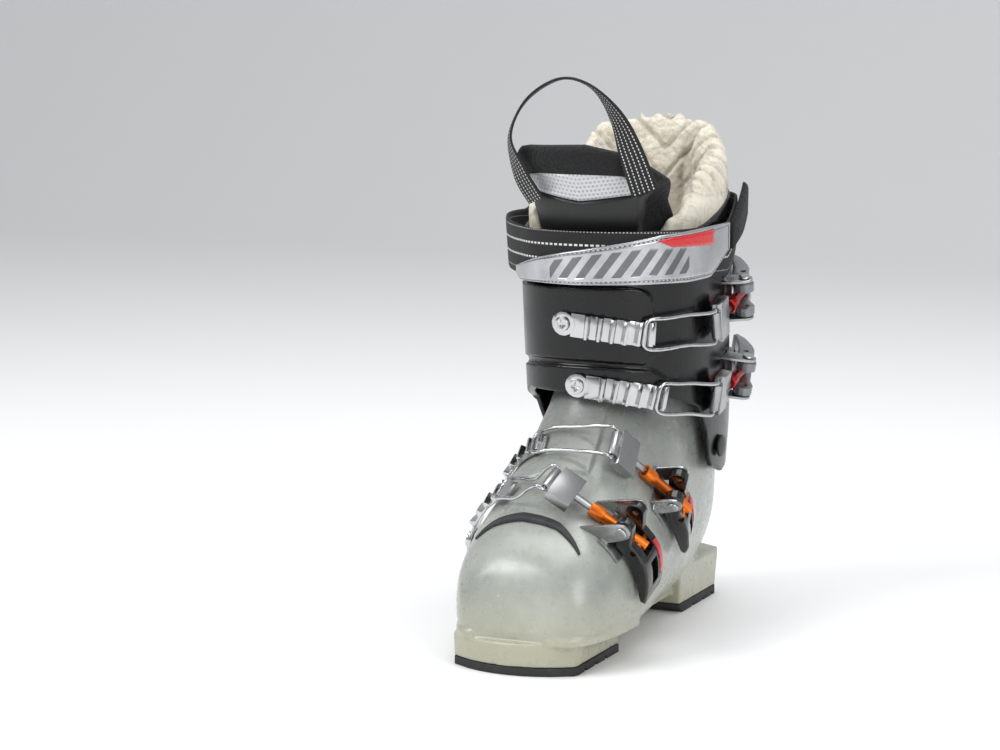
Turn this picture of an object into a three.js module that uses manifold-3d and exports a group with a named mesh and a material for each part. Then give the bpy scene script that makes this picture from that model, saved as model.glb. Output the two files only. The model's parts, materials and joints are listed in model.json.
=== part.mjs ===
// Left four-buckle alpine boot: toe toward -Y, buckle side toward +X, sole on z = 0.
import * as THREE from "three";
import { mergeVertices } from "three/addons/utils/BufferGeometryUtils.js";
import Module from "manifold-3d";

const wasm = await Module();
wasm.setup();

// ------------------------------------------------------------------ sole, mm
const SOLE_LENGTH = 275;
const HEEL_REAR = 85;
const TOE_TIP = HEEL_REAR - SOLE_LENGTH;
const TOE_LUG = { width: 79, length: 80, height: 19, offset: -2.2, noseRadius: 62, corner: 5 };
const HEEL_LUG = { width: 71, length: 86, height: 30, offset: 0, noseRadius: 44, corner: 12 };
const LUG_FLARE = 1.045;
const TOE_RUBBER = 5;
const HEEL_RUBBER = 6;
const WELT = 4;

// ------------------------------------------------------- shells and clearances
const GAP = 0.35;
const FLAP_LIFT = 1.6;
const TAB_LIFT = 2;
const SHELL_WALL = 4;
const CUFF_WALL = 3.5;
const LINER_CLEARANCE = 1.4;
const LINER_WALL = 7;
const SHELL_TOP = 11.4;
const PIVOT = { y: 14, z: 108, headRadius: 7, shankRadius: 3.5 };

// Each station is one slanted section, toe first: its upper point and lower point in
// the side view, half widths (outer side, inner side), widest place, and roundness.
const SHELL = [
  { f: [-185, 45], b: [-186, 24], w: [23, 21], mid: 0.4, n: [2.2, 2.6] },
  { f: [-179, 62], b: [-182, 14], w: [38, 35], mid: 0.42, n: [2.3, 3] },
  { f: [-165, 76], b: [-168, 10], w: [47, 44], mid: 0.42, n: [2.3, 3.2] },
  { f: [-146, 87], b: [-145, 9], w: [52, 50], mid: 0.42, n: [2.3, 3.4] },
  { f: [-123, 100], b: [-118, 8], w: [54, 53], mid: 0.42, n: [2.2, 3.4] },
  { f: [-103, 115], b: [-85, 8], w: [52, 52], mid: 0.42, n: [2.1, 3.2] },
  { f: [-86, 131], b: [-45, 9], w: [49, 49], mid: 0.42, n: [2.1, 3] },
  { f: [-74, 147], b: [-5, 11], w: [47, 47], mid: 0.42, n: [2.1, 2.8] },
  { f: [-65, 158], b: [38, 16], w: [46, 46], mid: 0.45, n: [2.1, 2.5] },
  { f: [-61, 167], b: [74, 34], w: [46, 46], mid: 0.48, n: [2.1, 2.3] },
  { f: [-60, 173], b: [81, 68], w: [47, 47], mid: 0.5, n: [2.1, 2.2] },
  { f: [-61, 179], b: [79, 108], w: [48, 48], mid: 0.5, n: [2.1, 2.2] },
  { f: [-63, 186], b: [77, 150], w: [49, 49], mid: 0.5, n: [2.1, 2.2] },
];
const CUFF = [
  { f: [-77, 128], b: [87, 84], w: [55, 55], mid: 0.5, n: [2.2, 2.2] },
  { f: [-79, 150], b: [88, 120], w: [57, 58], mid: 0.5, n: [2.2, 2.2] },
  { f: [-82, 185], b: [84, 165], w: [58, 59], mid: 0.5, n: [2.2, 2.2] },
  { f: [-85, 215], b: [80, 205], w: [59, 59], mid: 0.5, n: [2.2, 2.2] },
  { f: [-88, 250], b: [76, 250], w: [60, 60], mid: 0.5, n: [2.2, 2.2] },
  { f: [-94, 290], b: [75, 295], w: [62, 62], mid: 0.5, n: [2.2, 2.2] },
  { f: [-100, 330], b: [76, 340], w: [64, 64], mid: 0.5, n: [2.2, 2.2] },
];

// ----------------------------------------------------------------- buckles, mm
const RACK = { gap: 0.7, relief: 0.3, width: 14.5, plate: 1.8, pitch: 7.2, tooth: 3.2, endRadius: 7.4 };
const SCREW = { headRadius: 4.7, head: 1.7, shankRadius: 2.2 };
const WIRE = 1.25;
const BAIL_HALF = 9.4;
const BLOCK = { length: 15, width: 25, height: 6.5, hinge: 2.9 };
const HINGE_HALF = 10.6;
const ROD_RADIUS = 2.3;
const BARREL = { radius: 3.4, collar: 4.3, tail: 4.2, collarLength: 9 };
const LEVER = { width: 23, channel: 10.8, height: 10.5, tip: 5.5, front: 6, pinRadius: 2 };
const EAR = { gap: 0.5, thickness: 1.5, radius: 5.4 };
const BASE_PLATE = { lift: GAP, thickness: 1.6, depth: 4 };
const PIN_DROP = 0;

// Pull lines: places along each buckle on its shell, as [station, degrees from the front].
const BUCKLES = [
  {
    name: "toe", pivotLift: 17, blockLift: 12.5, tailLift: 12, shell: SHELL, hook: 2, block: 4, teeth: 5, rackLength: 36, pivotToPin: 17,
    line: [[4.05, -84], [4.05, -58], [3.98, -34], [3.6, -8], [3.45, 12], [3.38, 30], [3.5, 47],
      [3.58, 61], [3.78, 78], [4.25, 97], [4.8, 113]],
    pivotAt: 34, leverLength: 52, pinSide: -1, barrel: 0xd9691e, lever: 0x1b1c20, inlay: 0xa3262c,
  },
  {
    name: "instep", pivotLift: 13.5, blockLift: 8.5, tailLift: 12, shell: SHELL, hook: 2, block: 4, teeth: 5, rackLength: 36, pivotToPin: 17,
    line: [[5.4, -74], [5.45, -50], [5.45, -25], [5.4, 8], [5.52, 34], [5.85, 56], [6.3, 72],
      [6.6, 84], [6.82, 96], [7, 112], [7.1, 126]],
    pivotAt: 36, leverLength: 50, pinSide: -1, barrel: 0xd9691e, lever: 0x1b1c20, inlay: 0xa3262c,
  },
  {
    name: "lower_cuff", pivotLift: 12, blockLift: 6.8, tailLift: 9, shell: CUFF, hook: 2, block: 4, teeth: 6, rackLength: 46, pivotToPin: 16,
    line: [[1.3, -24], [1.2, -4], [1.06, 41], [1.1, 63], [1.24, 84], [1.42, 98], [1.68, 118],
      [1.93, 142], [2.02, 158]],
    pivotAt: 32, leverLength: 44, pinSide: 1, barrel: 0xb3202c, lever: 0x74767c, inlay: 0x9a9ca2,
  },
  {
    name: "upper_cuff", pivotLift: 12, blockLift: 6.8, tailLift: 9, shell: CUFF, hook: 2, block: 4, teeth: 6, rackLength: 46, pivotToPin: 16,
    line: [[2.42, -26], [2.3, -7], [2.16, 34], [2.28, 62], [2.47, 84], [2.75, 98], [3.02, 118],
      [3.3, 142], [3.4, 158]],
    pivotAt: 32, leverLength: 44, pinSide: 1, barrel: 0xb3202c, lever: 0x74767c, inlay: 0x9a9ca2,
  },
];

// ---------------------------------------------------------------- colours
const COLOURS = {
  shell: [0xb9bcb4, 0.42, 0], rubber: [0x2f3033, 0.85, 0], cuff: [0x141416, 0.35, 0],
  seal: [0x3c3e40, 0.7, 0], board: [0x55575a, 0.8, 0], foam: [0x26272a, 0.9, 0],
  fur: [0xe6e0d2, 1, 0], fleece: [0x121214, 0.95, 0], panel: [0xb8bac0, 0.45, 0.3],
  softshell: [0x1a1a1d, 0.6, 0], webbing: [0x17171a, 0.85, 0], badge: [0xc2c3c6, 0.3, 0.6],
  red: [0xb01820, 0.25, 0], steel: [0xc9cbce, 0.28, 0.95], zinc: [0xa9abae, 0.45, 0.85],
  dark: [0x2a2b2e, 0.5, 0.4],
};

const boot = new THREE.Group();

function addPart(name, geometry, look) {
  const [color, roughness, metalness] = Array.isArray(look) ? look : COLOURS[look];
  const material = new THREE.MeshStandardMaterial({ color, roughness, metalness });
  const mesh = new THREE.Mesh(geometry, material);
  mesh.name = name;
  boot.add(mesh);
}

// ------------------------------------------------------------- solid helpers
function toManifold(geometry) {
  const bare = geometry.clone();
  bare.deleteAttribute("normal");
  bare.deleteAttribute("uv");
  const merged = mergeVertices(bare, 1e-4);
  return new wasm.Manifold(new wasm.Mesh({
    numProp: 3,
    vertProperties: new Float32Array(merged.attributes.position.array),
    triVerts: new Uint32Array(merged.index.array),
  }));
}

function toGeometry(solid) {
  const mesh = solid.getMesh();
  const geometry = new THREE.BufferGeometry();
  geometry.setAttribute("position", new THREE.Float32BufferAttribute(mesh.vertProperties, 3));
  geometry.setIndex(Array.from(mesh.triVerts));
  geometry.computeVertexNormals();
  return geometry;
}

const join = (...parts) => toGeometry(wasm.Manifold.union(parts.map(toManifold)));
const cut = (base, ...tools) => toGeometry(toManifold(base).subtract(
  wasm.Manifold.union(tools.map(toManifold))));
const common = (a, b) => toGeometry(toManifold(a).intersect(toManifold(b)));

function surfaceMesh(points, triangles) {
  const geometry = new THREE.BufferGeometry();
  const flatPoints = points.flatMap((p) => [p.x, p.y, p.z]);
  geometry.setAttribute("position", new THREE.Float32BufferAttribute(flatPoints, 3));
  geometry.setIndex(triangles);
  geometry.computeVertexNormals();
  return geometry;
}

function box(x0, x1, y0, y1, z0, z1) {
  const geometry = new THREE.BoxGeometry(x1 - x0, y1 - y0, z1 - z0);
  return geometry.translate((x0 + x1) / 2, (y0 + y1) / 2, (z0 + z1) / 2);
}

function cylinderY(radius, y0, y1, x, z, sides = 20) {
  const geometry = new THREE.CylinderGeometry(radius, radius, y1 - y0, sides);
  return geometry.translate(x, (y0 + y1) / 2, z);
}

function cylinderX(radius, x0, x1, y = 0, z = 0, sides = 20) {
  const geometry = new THREE.CylinderGeometry(radius, radius, x1 - x0, sides);
  return geometry.rotateZ(Math.PI / 2).translate((x0 + x1) / 2, y, z);
}

function cylinderZ(radius, z0, z1, sides = 24) {
  const geometry = new THREE.CylinderGeometry(radius, radius, z1 - z0, sides);
  return geometry.rotateX(Math.PI / 2).translate(0, 0, (z0 + z1) / 2);
}

// Prism across the boot from a side-view outline of [y, z] points.
function sidePrism(outline, x0, x1) {
  const shape = new THREE.Shape(outline.map(([y, z]) => new THREE.Vector2(y, z)));
  const geometry = new THREE.ExtrudeGeometry(shape, { depth: x1 - x0, bevelEnabled: false });
  const basis = new THREE.Matrix4().makeBasis(
    new THREE.Vector3(0, 1, 0), new THREE.Vector3(0, 0, 1), new THREE.Vector3(1, 0, 0));
  return geometry.applyMatrix4(basis).translate(x0, 0, 0);
}

// ------------------------------------------------------- lofted boot surfaces
const TURN = Math.PI * 2;
const RAD = Math.PI / 180;
const lerp = (a, b, t) => a + (b - a) * t;

function spline(p0, p1, p2, p3, t) {
  const square = (2 * p0 - 5 * p1 + 4 * p2 - p3) * t * t;
  const cube = (3 * p1 - p0 - 3 * p2 + p3) * t * t * t;
  return 0.5 * (2 * p1 + (p2 - p0) * t + square + cube);
}

function splineRow(rows, u) {
  if (u < 0) return rows[0].map((value, k) => value + (rows[1][k] - value) * u);
  const last = rows.length - 1;
  const i = Math.min(Math.max(Math.floor(u), 0), last - 1);
  const quad = [Math.max(i - 1, 0), i, i + 1, Math.min(i + 2, last)].map((k) => rows[k]);
  return rows[i].map((_, k) => spline(quad[0][k], quad[1][k], quad[2][k], quad[3][k], u - i));
}

function stationAt(stations, u) {
  const rows = stations.map((s) => [...s.f, ...s.b, ...s.w, s.mid, ...s.n]);
  const [fy, fz, by, bz, outer, inner, mid, upper, lower] = splineRow(rows, u);
  return { f: [fy, fz], b: [by, bz], w: [outer, inner], mid, n: [upper, lower] };
}

function ringPoint(s, angle, inset = 0) {
  const c = Math.cos(angle);
  const q = Math.sin(angle);
  const dy = s.f[0] - s.b[0];
  const dz = s.f[1] - s.b[1];
  const length = Math.hypot(dy, dz);
  const power = 2 / (c >= 0 ? s.n[0] : s.n[1]);
  const half = (c >= 0 ? 1 - s.mid : s.mid) * length + inset;
  const width = (q >= 0 ? s.w[0] : s.w[1]) + inset;
  const along = Math.sign(c) * half * Math.abs(c) ** power;
  const side = Math.sign(q) * width * Math.abs(q) ** power;
  const y = s.b[0] + s.mid * dy + along * dy / length;
  const z = s.b[1] + s.mid * dz + along * dz / length;
  return new THREE.Vector3(side, y, z);
}

function lofted(stations, from, to, rings, around, inset = 0) {
  const points = [];
  for (let i = 0; i <= rings; i++) {
    const station = stationAt(stations, lerp(from, to, i / rings));
    for (let j = 0; j < around; j++) points.push(ringPoint(station, TURN * j / around, inset));
  }
  const triangles = [];
  for (let i = 0; i < rings; i++) {
    for (let j = 0; j < around; j++) {
      const a = i * around + j;
      const b = i * around + (j + 1) % around;
      triangles.push(a, b, a + around, b, b + around, a + around);
    }
  }
  for (const end of [0, rings]) {
    const centre = new THREE.Vector3();
    for (let j = 0; j < around; j++) centre.add(points[end * around + j]);
    points.push(centre.divideScalar(around));
    for (let j = 0; j < around; j++) {
      const a = end * around + j;
      const b = end * around + (j + 1) % around;
      triangles.push(points.length - 1, ...(end === 0 ? [b, a] : [a, b]));
    }
  }
  return surfaceMesh(points, triangles);
}

// Point on a boot surface, lifted off it by `lift`, with the outward direction there.
function onSurface(stations, u, angle, lift = 0) {
  const at = (v, a) => ringPoint(stationAt(stations, v), a);
  const step = 0.02;
  const along = at(Math.min(u + step, stations.length - 1), angle).sub(at(Math.max(u - step, 0), angle));
  const round = at(u, angle + 0.01).sub(at(u, angle - 0.01));
  const normal = round.cross(along).normalize();
  return { point: at(u, angle).addScaledVector(normal, lift), normal };
}

// Solid sheet lying on a boot surface. `edges` gives the lower and upper station for a
// place t (0 to 1) round the sheet; `lifts` gives its inner and outer lift for (t, height).
function patch(stations, degrees, edges, lifts, columns, rows, closed = false) {
  const count = closed ? columns : columns + 1;
  const points = [];
  for (const face of [0, 1]) {
    for (let i = 0; i < count; i++) {
      const t = i / columns;
      const angle = lerp(degrees[0], degrees[1], t) * RAD;
      const [low, high] = edges(t);
      for (let j = 0; j <= rows; j++) {
        const lift = lifts(t, j / rows)[face];
        points.push(onSurface(stations, lerp(low, high, j / rows), angle, lift).point);
      }
    }
  }
  const id = (face, i, j) => (face * count + i % count) * (rows + 1) + j;
  const triangles = [];
  const quad = (a, b, c, d) => triangles.push(a, b, c, a, c, d);
  for (let i = 0; i < columns; i++) {
    for (let j = 0; j < rows; j++) {
      quad(id(0, i, j), id(0, i, j + 1), id(0, i + 1, j + 1), id(0, i + 1, j));
      quad(id(1, i, j), id(1, i + 1, j), id(1, i + 1, j + 1), id(1, i, j + 1));
    }
    quad(id(0, i, 0), id(0, i + 1, 0), id(1, i + 1, 0), id(1, i, 0));
    quad(id(0, i, rows), id(1, i, rows), id(1, i + 1, rows), id(0, i + 1, rows));
  }
  if (!closed) {
    for (let j = 0; j < rows; j++) {
      quad(id(0, 0, j), id(1, 0, j), id(1, 0, j + 1), id(0, 0, j + 1));
      quad(id(0, columns, j), id(0, columns, j + 1), id(1, columns, j + 1), id(1, columns, j));
    }
  }
  return surfaceMesh(points, triangles);
}

// Straight-line interpolation through [t, value] pairs.
function table(pairs, t) {
  let k = 1;
  while (k < pairs.length - 1 && pairs[k][0] < t) k += 1;
  const [a, b] = [pairs[k - 1], pairs[k]];
  const f = Math.min(Math.max((t - a[0]) / (b[0] - a[0]), 0), 1);
  return lerp(a[1], b[1], f);
}

// --------------------------------------------------------------- pull lines
function pullLine(stations, controls, origin) {
  const steps = 12;
  const samples = [];
  for (let i = 0; i <= (controls.length - 1) * steps; i++) {
    const [u, degrees] = splineRow(controls, i / steps);
    const { point, normal } = onSurface(stations, u, degrees * RAD);
    const previous = samples[samples.length - 1];
    const s = previous ? previous.s + point.distanceTo(previous.point) : 0;
    samples.push({ s, u, degrees, point, normal });
  }
  const zero = samples[origin * steps].s;
  samples.forEach((sample) => { sample.s -= zero; });
  return samples;
}

// Frame on a pull line: `s` along it, `t` across it on the surface, `lift` off it.
function onLine(stations, samples, s, t = 0, lift = 0) {
  let k = 1;
  while (k < samples.length - 1 && samples[k].s < s) k += 1;
  const [a, b] = [samples[k - 1], samples[k]];
  const f = (s - a.s) / (b.s - a.s);
  let u = lerp(a.u, b.u, f);
  let angle = lerp(a.degrees, b.degrees, f) * RAD;
  const tangent = b.point.clone().sub(a.point).normalize();
  const steps = Math.max(1, Math.ceil(Math.abs(t) / 4));
  for (let i = 0; i < steps && t !== 0; i++) {
    const here = onSurface(stations, u, angle);
    const across = here.normal.clone().cross(tangent).normalize().multiplyScalar(t / steps);
    const du = onSurface(stations, u + 0.02, angle).point.sub(here.point).divideScalar(0.02);
    const da = onSurface(stations, u, angle + 0.02).point.sub(here.point).divideScalar(0.02);
    const uu = du.dot(du);
    const aa = da.dot(da);
    const ua = du.dot(da);
    const determinant = uu * aa - ua * ua;
    u += (across.dot(du) * aa - across.dot(da) * ua) / determinant;
    angle += (across.dot(da) * uu - across.dot(du) * ua) / determinant;
  }
  const { point, normal } = onSurface(stations, u, angle, lift);
  return { point, normal, tangent };
}

// Bend a flat solid (x along the line, y across, z outward) onto its shell.
function bend(geometry, buckle, s0) {
  const position = geometry.attributes.position;
  for (let i = 0; i < position.count; i++) {
    const [x, y, z] = [position.getX(i), position.getY(i), position.getZ(i)];
    const { point } = onLine(buckle.shell, buckle.samples, s0 + x, y, z);
    position.setXYZ(i, point.x, point.y, point.z);
  }
  geometry.computeVertexNormals();
  return geometry;
}

function frameFrom(origin, forward, outward) {
  const x = forward.clone().normalize();
  const y = outward.clone().cross(x).normalize();
  const z = x.clone().cross(y);
  return new THREE.Matrix4().makeBasis(x, y, z).setPosition(origin);
}

// ------------------------------------------------------------- wires and webs
function ringBasis(points, i, side) {
  const before = points[Math.max(i - 1, 0)];
  const after = points[Math.min(i + 1, points.length - 1)];
  const tangent = after.clone().sub(before).normalize();
  const wide = side.clone().addScaledVector(tangent, -side.dot(tangent)).normalize();
  return { tangent, wide, deep: tangent.clone().cross(wide) };
}

function sweep(points, section, sideAt) {
  const vertices = [];
  const count = section.length;
  let side = sideAt(0);
  points.forEach((point, i) => {
    const basis = ringBasis(points, i, sideAt.fixed ? sideAt(i) : side);
    side = basis.wide;
    for (const [a, b] of section) {
      vertices.push(point.clone().addScaledVector(basis.wide, a).addScaledVector(basis.deep, b));
    }
  });
  const triangles = [];
  for (let i = 0; i < points.length - 1; i++) {
    for (let j = 0; j < count; j++) {
      const a = i * count + j;
      const b = i * count + (j + 1) % count;
      triangles.push(a, b, b + count, a, b + count, a + count);
    }
  }
  const last = (points.length - 1) * count;
  for (let j = 1; j < count - 1; j++) {
    triangles.push(0, j + 1, j, last, last + j, last + j + 1);
  }
  return surfaceMesh(vertices, triangles);
}

function wire(points, radius, sides = 8) {
  const section = [];
  for (let j = 0; j < sides; j++) {
    section.push([radius * Math.cos(TURN * j / sides), radius * Math.sin(TURN * j / sides)]);
  }
  const start = points[1].clone().sub(points[0]);
  const side = Math.abs(start.z) < Math.abs(start.x) ? new THREE.Vector3(0, 0, 1) : new THREE.Vector3(1, 0, 0);
  return sweep(points, section, () => side);
}

// ------------------------------------------------------------------ the sole
function lugOutline(lug, rearward) {
  const half = lug.width / 2;
  const tip = rearward ? HEEL_REAR : TOE_TIP;
  const way = rearward ? -1 : 1;
  const reach = Math.asin((half - lug.corner) / lug.noseRadius);
  const cornerY = tip + way * (lug.noseRadius * (1 - Math.cos(reach)) + lug.corner * 0.9);
  const points = [];
  for (let k = -4; k <= 4; k++) {
    const a = reach * k / 4;
    points.push([lug.noseRadius * Math.sin(a), tip + way * lug.noseRadius * (1 - Math.cos(a))]);
  }
  points.push([half - lug.corner * 0.25, cornerY - way * lug.corner * 0.45], [half, cornerY + way * 2]);
  points.push([half, tip + way * lug.length], [-half, tip + way * lug.length]);
  points.push([-half, cornerY + way * 2], [-half + lug.corner * 0.25, cornerY - way * lug.corner * 0.45]);
  return new THREE.Shape(points.map(([x, y]) => new THREE.Vector2(x + lug.offset, y)));
}

// Lug or pad between two heights; `flare` widens its upper face about the lug's middle.
function lugSolid(lug, rearward, z0, z1, flare = 1) {
  const geometry = new THREE.ExtrudeGeometry(lugOutline(lug, rearward), { depth: z1 - z0, bevelEnabled: false });
  geometry.translate(0, 0, z0);
  const position = geometry.attributes.position;
  const middle = rearward ? HEEL_REAR - lug.length / 2 : TOE_TIP + lug.length / 2;
  for (let i = 0; i < position.count; i++) {
    if (position.getZ(i) < z1 - 0.01) continue;
    position.setX(i, lug.offset + (position.getX(i) - lug.offset) * flare);
    position.setY(i, middle + (position.getY(i) - middle) * flare);
  }
  return geometry;
}

function makeSoles() {
  const groove = (y) => box(-50, 50, y, y + 3, -1, 2);
  const toe = lugSolid(TOE_LUG, false, 0, TOE_RUBBER);
  const toeGrooves = [TOE_TIP + 26, TOE_TIP + 42, TOE_TIP + 58].map(groove);
  addPart("toe_sole_pad", cut(toe, ...toeGrooves), "rubber");
  const heelGrooves = [HEEL_REAR - 26, HEEL_REAR - 44, HEEL_REAR - 62].map(groove);
  const ramp = sidePrism([[HEEL_REAR - 87, -1], [HEEL_REAR - 78, -1], [HEEL_REAR - 87, 5]], -50, 50);
  const heel = lugSolid(HEEL_LUG, true, 0, HEEL_RUBBER);
  addPart("heel_sole_pad", cut(heel, ...heelGrooves, ramp), "rubber");
}

// --------------------------------------------------------------- lower shell
const outerShell = (grow = 0) => lofted(SHELL, 0, SHELL_TOP, 23, 28, grow);
const outerCuff = (grow = 0) => lofted(CUFF, -0.35, 4.6, 8, 28, grow);

function makeLowerShell() {
  const outer = outerShell();
  const toeLug = lugSolid(TOE_LUG, false, TOE_RUBBER + GAP, TOE_LUG.height, 1.01);
  const heelLug = lugSolid(HEEL_LUG, true, HEEL_RUBBER + GAP, HEEL_LUG.height, LUG_FLARE);
  const arch = box(-30, 30, TOE_TIP + TOE_LUG.length - 10, 10, 12, 24);
  const cavity = lofted(SHELL, 0.5, 12, 23, 20, -SHELL_WALL);
  const clearFloor = box(-80, 80, -200, 100, -5, TOE_RUBBER + GAP);
  const bores = [-1, 1].map((side) => cylinderX(PIVOT.shankRadius + GAP, side > 0 ? 20 : -80,
    side > 0 ? 80 : -20, PIVOT.y, PIVOT.z));
  const body = join(outer, toeLug, heelLug, arch, toeWelt(outer), ...instepFlap());
  const collarTop = box(-80, 80, -100, 100, COLLAR.top, COLLAR.top + 60);
  const tools = [cavity, clearFloor, collarTop, ...bores, ...shellScrewHoles()];
  addPart("lower_shell", cut(body, ...tools), "shell");
}

// Upright wall round the foot of the shell, so that nothing overhangs the toe lug's top face.
function toeWelt(outer) {
  const plan = toManifold(outer).slice(TOE_LUG.height + WELT);
  const wall = wasm.Manifold.extrude(plan, WELT + 1).translate([0, 0, TOE_LUG.height - 1]);
  return common(toGeometry(wall), box(-80, 80, TOE_TIP, TOE_TIP + TOE_LUG.length, 0, 60));
}

// The overlapping flap over the instep, a thicker panel with a free edge.
function instepFlap() {
  const edges = (t) => [table([[0, 5], [0.5, 4.35], [1, 4.6]], t), 8.4];
  const lifts = () => [-1.5, FLAP_LIFT];
  return [patch(SHELL, [-60, 17], edges, lifts, 8, 9)];
}

function shellScrewHoles() {
  return BUCKLES.filter((b) => b.shell === SHELL).map((b) => placed(cylinderZ(SCREW.shankRadius + GAP, -8, 12, 10), b, b.screwAt));
}

function makeSeal() {
  const edges = (t) => {
    const half = 0.14 * Math.sin(Math.PI * (0.06 + 0.88 * t)) + 0.02;
    const middle = table([[0, 2.62], [0.2, 2.8], [0.45, 2.86], [0.7, 2.66], [1, 2.12]], t);
    return [middle - half, middle + half];
  };
  const lifts = (t) => [GAP, GAP + 0.8 + 1.6 * Math.sin(Math.PI * t)];
  addPart("throat_seal", patch(SHELL, [-47, 41], edges, lifts, 16, 2), "seal");
}

function makeFootInside() {
  const floor = 24;
  const board = lofted(SHELL, 1.2, 9.2, 9, 16, -SHELL_WALL - 3);
  addPart("bootboard", common(board, box(-80, 80, -200, 100, 0, floor)), "board");
  const outside = lofted(SHELL, 1, 11.5, 21, 20, -SHELL_WALL - LINER_CLEARANCE);
  const inside = lofted(SHELL, 1.7, SHELL_TOP + 0.6, 10, 16, -SHELL_WALL - LINER_CLEARANCE - LINER_WALL);
  const topCut = sidePrism([[-220, 112], [120, 112], [120, 260], [-220, 260]], -90, 90);
  const floorCut = box(-90, 90, -220, 120, -10, floor + GAP);
  const innerFloor = cut(inside, box(-90, 90, -220, 120, -10, floor + 7));
  addPart("liner_foot", cut(outside, topCut, floorCut, innerFloor), "fur");
  const bed = lofted(SHELL, 2, 8.6, 8, 14, -SHELL_WALL - LINER_CLEARANCE - LINER_WALL - 3);
  addPart("insole", common(bed, box(-80, 80, -200, 100, floor + 7 + GAP, floor + 11)), "foam");
}

// ---------------------------------------------------------------------- cuff
function cuffTabs() {
  const upper = (t) => [table([[0, 1.66], [0.95, 1.6], [1, 1.74]], t),
    table([[0, 3.05], [0.93, 3.03], [0.98, 2.95], [1, 2.8]], t)];
  const lower = (t) => [table([[0, 0.72], [0.93, 0.82], [1, 0.95]], t),
    table([[0, 1.52], [0.93, 1.5], [1, 1.38]], t)];
  const lifts = () => [-1.2, TAB_LIFT];
  return [patch(CUFF, [-75, 41], upper, lifts, 12, 3), patch(CUFF, [-75, 50], lower, lifts, 12, 2)];
}

function makeCuff() {
  const outer = outerCuff();
  const inner = lofted(CUFF, -0.6, 4.9, 7, 24, -CUFF_WALL);
  const wall = cut(outer, inner);
  const below = sidePrism([[-120, 40], [-120, 152], [-60, 150], [-22, 138], [-8, 120], [-1, 102],
    [8, 92], [26, 89], [50, 92], [70, 97], [120, 97], [120, 40]], -90, 90);
  const above = sidePrism([[-120, 242], [-62, 244], [-20, 252], [20, 264], [52, 270], [120, 272],
    [120, 400], [-120, 400]], -90, 90);
  const bores = [-1, 1].map((side) => cylinderX(PIVOT.shankRadius + GAP, side > 0 ? 20 : -80,
    side > 0 ? 80 : -20, PIVOT.y, PIVOT.z));
  const holes = BUCKLES.filter((b) => b.shell === CUFF).map((b) => placed(cylinderZ(SCREW.shankRadius + GAP, -8, 12, 10), b, b.screwAt));
  const strapHole = cylinderY(STRAP_RIVET.shank + GAP, 60, 100, 0, STRAP_RIVET.z, 12);
  addPart("cuff", cut(join(wall, ...cuffTabs()), below, above, ...bores, ...holes, strapHole), "cuff");
}

function makePivots() {
  for (const [name, side] of [["cuff_pivot_outer", 1], ["cuff_pivot_inner", -1]]) {
    const outside = 56;
    const head = cylinderX(PIVOT.headRadius, outside, outside + 1.8, PIVOT.y, PIVOT.z, 28);
    const shank = cylinderX(PIVOT.shankRadius, 45, outside + 1, PIVOT.y, PIVOT.z);
    const rivet = join(head, shank);
    if (side < 0) rivet.rotateZ(Math.PI).translate(0, 2 * PIVOT.y, 0);
    addPart(name, rivet, "dark");
  }
}

// --------------------------------------------------------------------- liner
// Stations where the leg part of the liner leaves the lower shell's collar.
const COLLAR = { top: 163, inside: 1.75, clear: 2.25 };

function makeLinerCuff() {
  const edges = (t) => {
    const round = Math.abs(2 * t - 1);
    return [table([[0, 0.98], [1, 1.05]], round),
      table([[0, 5.42], [0.35, 5.36], [0.7, 4.9], [0.9, 4.35], [1, 4.1]], round)];
  };
  const lifts = (t, h) => {
    const [low, high] = edges(t);
    const round = Math.abs(2 * t - 1);
    const sunk = table([[0, 10], [0.6, 10.5], [0.85, 16], [1, 21]], round);
    const tucked = table([[0, 1], [COLLAR.inside, 1], [COLLAR.clear, 0], [9, 0]], lerp(low, high, h));
    const roll = table([[0, 0], [0.86, 0], [0.95, 1.5], [1, 4]], h);
    const outside = -CUFF_WALL - 1.2 - sunk * tucked;
    return [outside - 11 + 2 * tucked + roll, outside - roll];
  };
  addPart("liner_cuff", patch(CUFF, [52, 308], edges, lifts, 20, 9), "fur");
}

const TUCK = 13;
const TONGUE_SPAN = [-66, 74];

function tongueEdges(t) {
  const top = table([[0, 4.5], [0.06, 4.9], [0.2, 5.22], [0.5, 5.26], [0.7, 5.12], [0.86, 4.75], [0.96, 4.3], [1, 4.1]], t);
  return [1.6, top];
}

// Lift of the tongue's outer face: deep inside the cuff, coming forward above it.
function tongueFace(t, u) {
  const degrees = Math.abs(lerp(TONGUE_SPAN[0], TONGUE_SPAN[1], t));
  const sunk = table([[1.6, -25], [2, -25], [2.6, -12], [3.8, -9.5], [4.4, -4.5], [5.2, 1]], u);
  const side = table([[0, 0], [34, 0], [48, 1], [90, 1]], degrees);
  const tucked = table([[0, 1], [4.4, 1], [4.75, 0], [6, 0]], u);
  return sunk - side * tucked * TUCK;
}

function tongueLifts(t, h) {
  const [low, high] = tongueEdges(t);
  const face = tongueFace(t, lerp(low, high, h));
  const middle = Math.sin(Math.PI * t) ** 0.6;
  const roll = table([[0, 0], [0.9, 0], [0.96, 1.8], [1, -1]], h);
  return [face - 4.5 - 4.5 * middle - roll, face + roll];
}

function makeTongue() {
  addPart("tongue", patch(CUFF, TONGUE_SPAN, tongueEdges, tongueLifts, 20, 13), "fleece");
}

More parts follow.
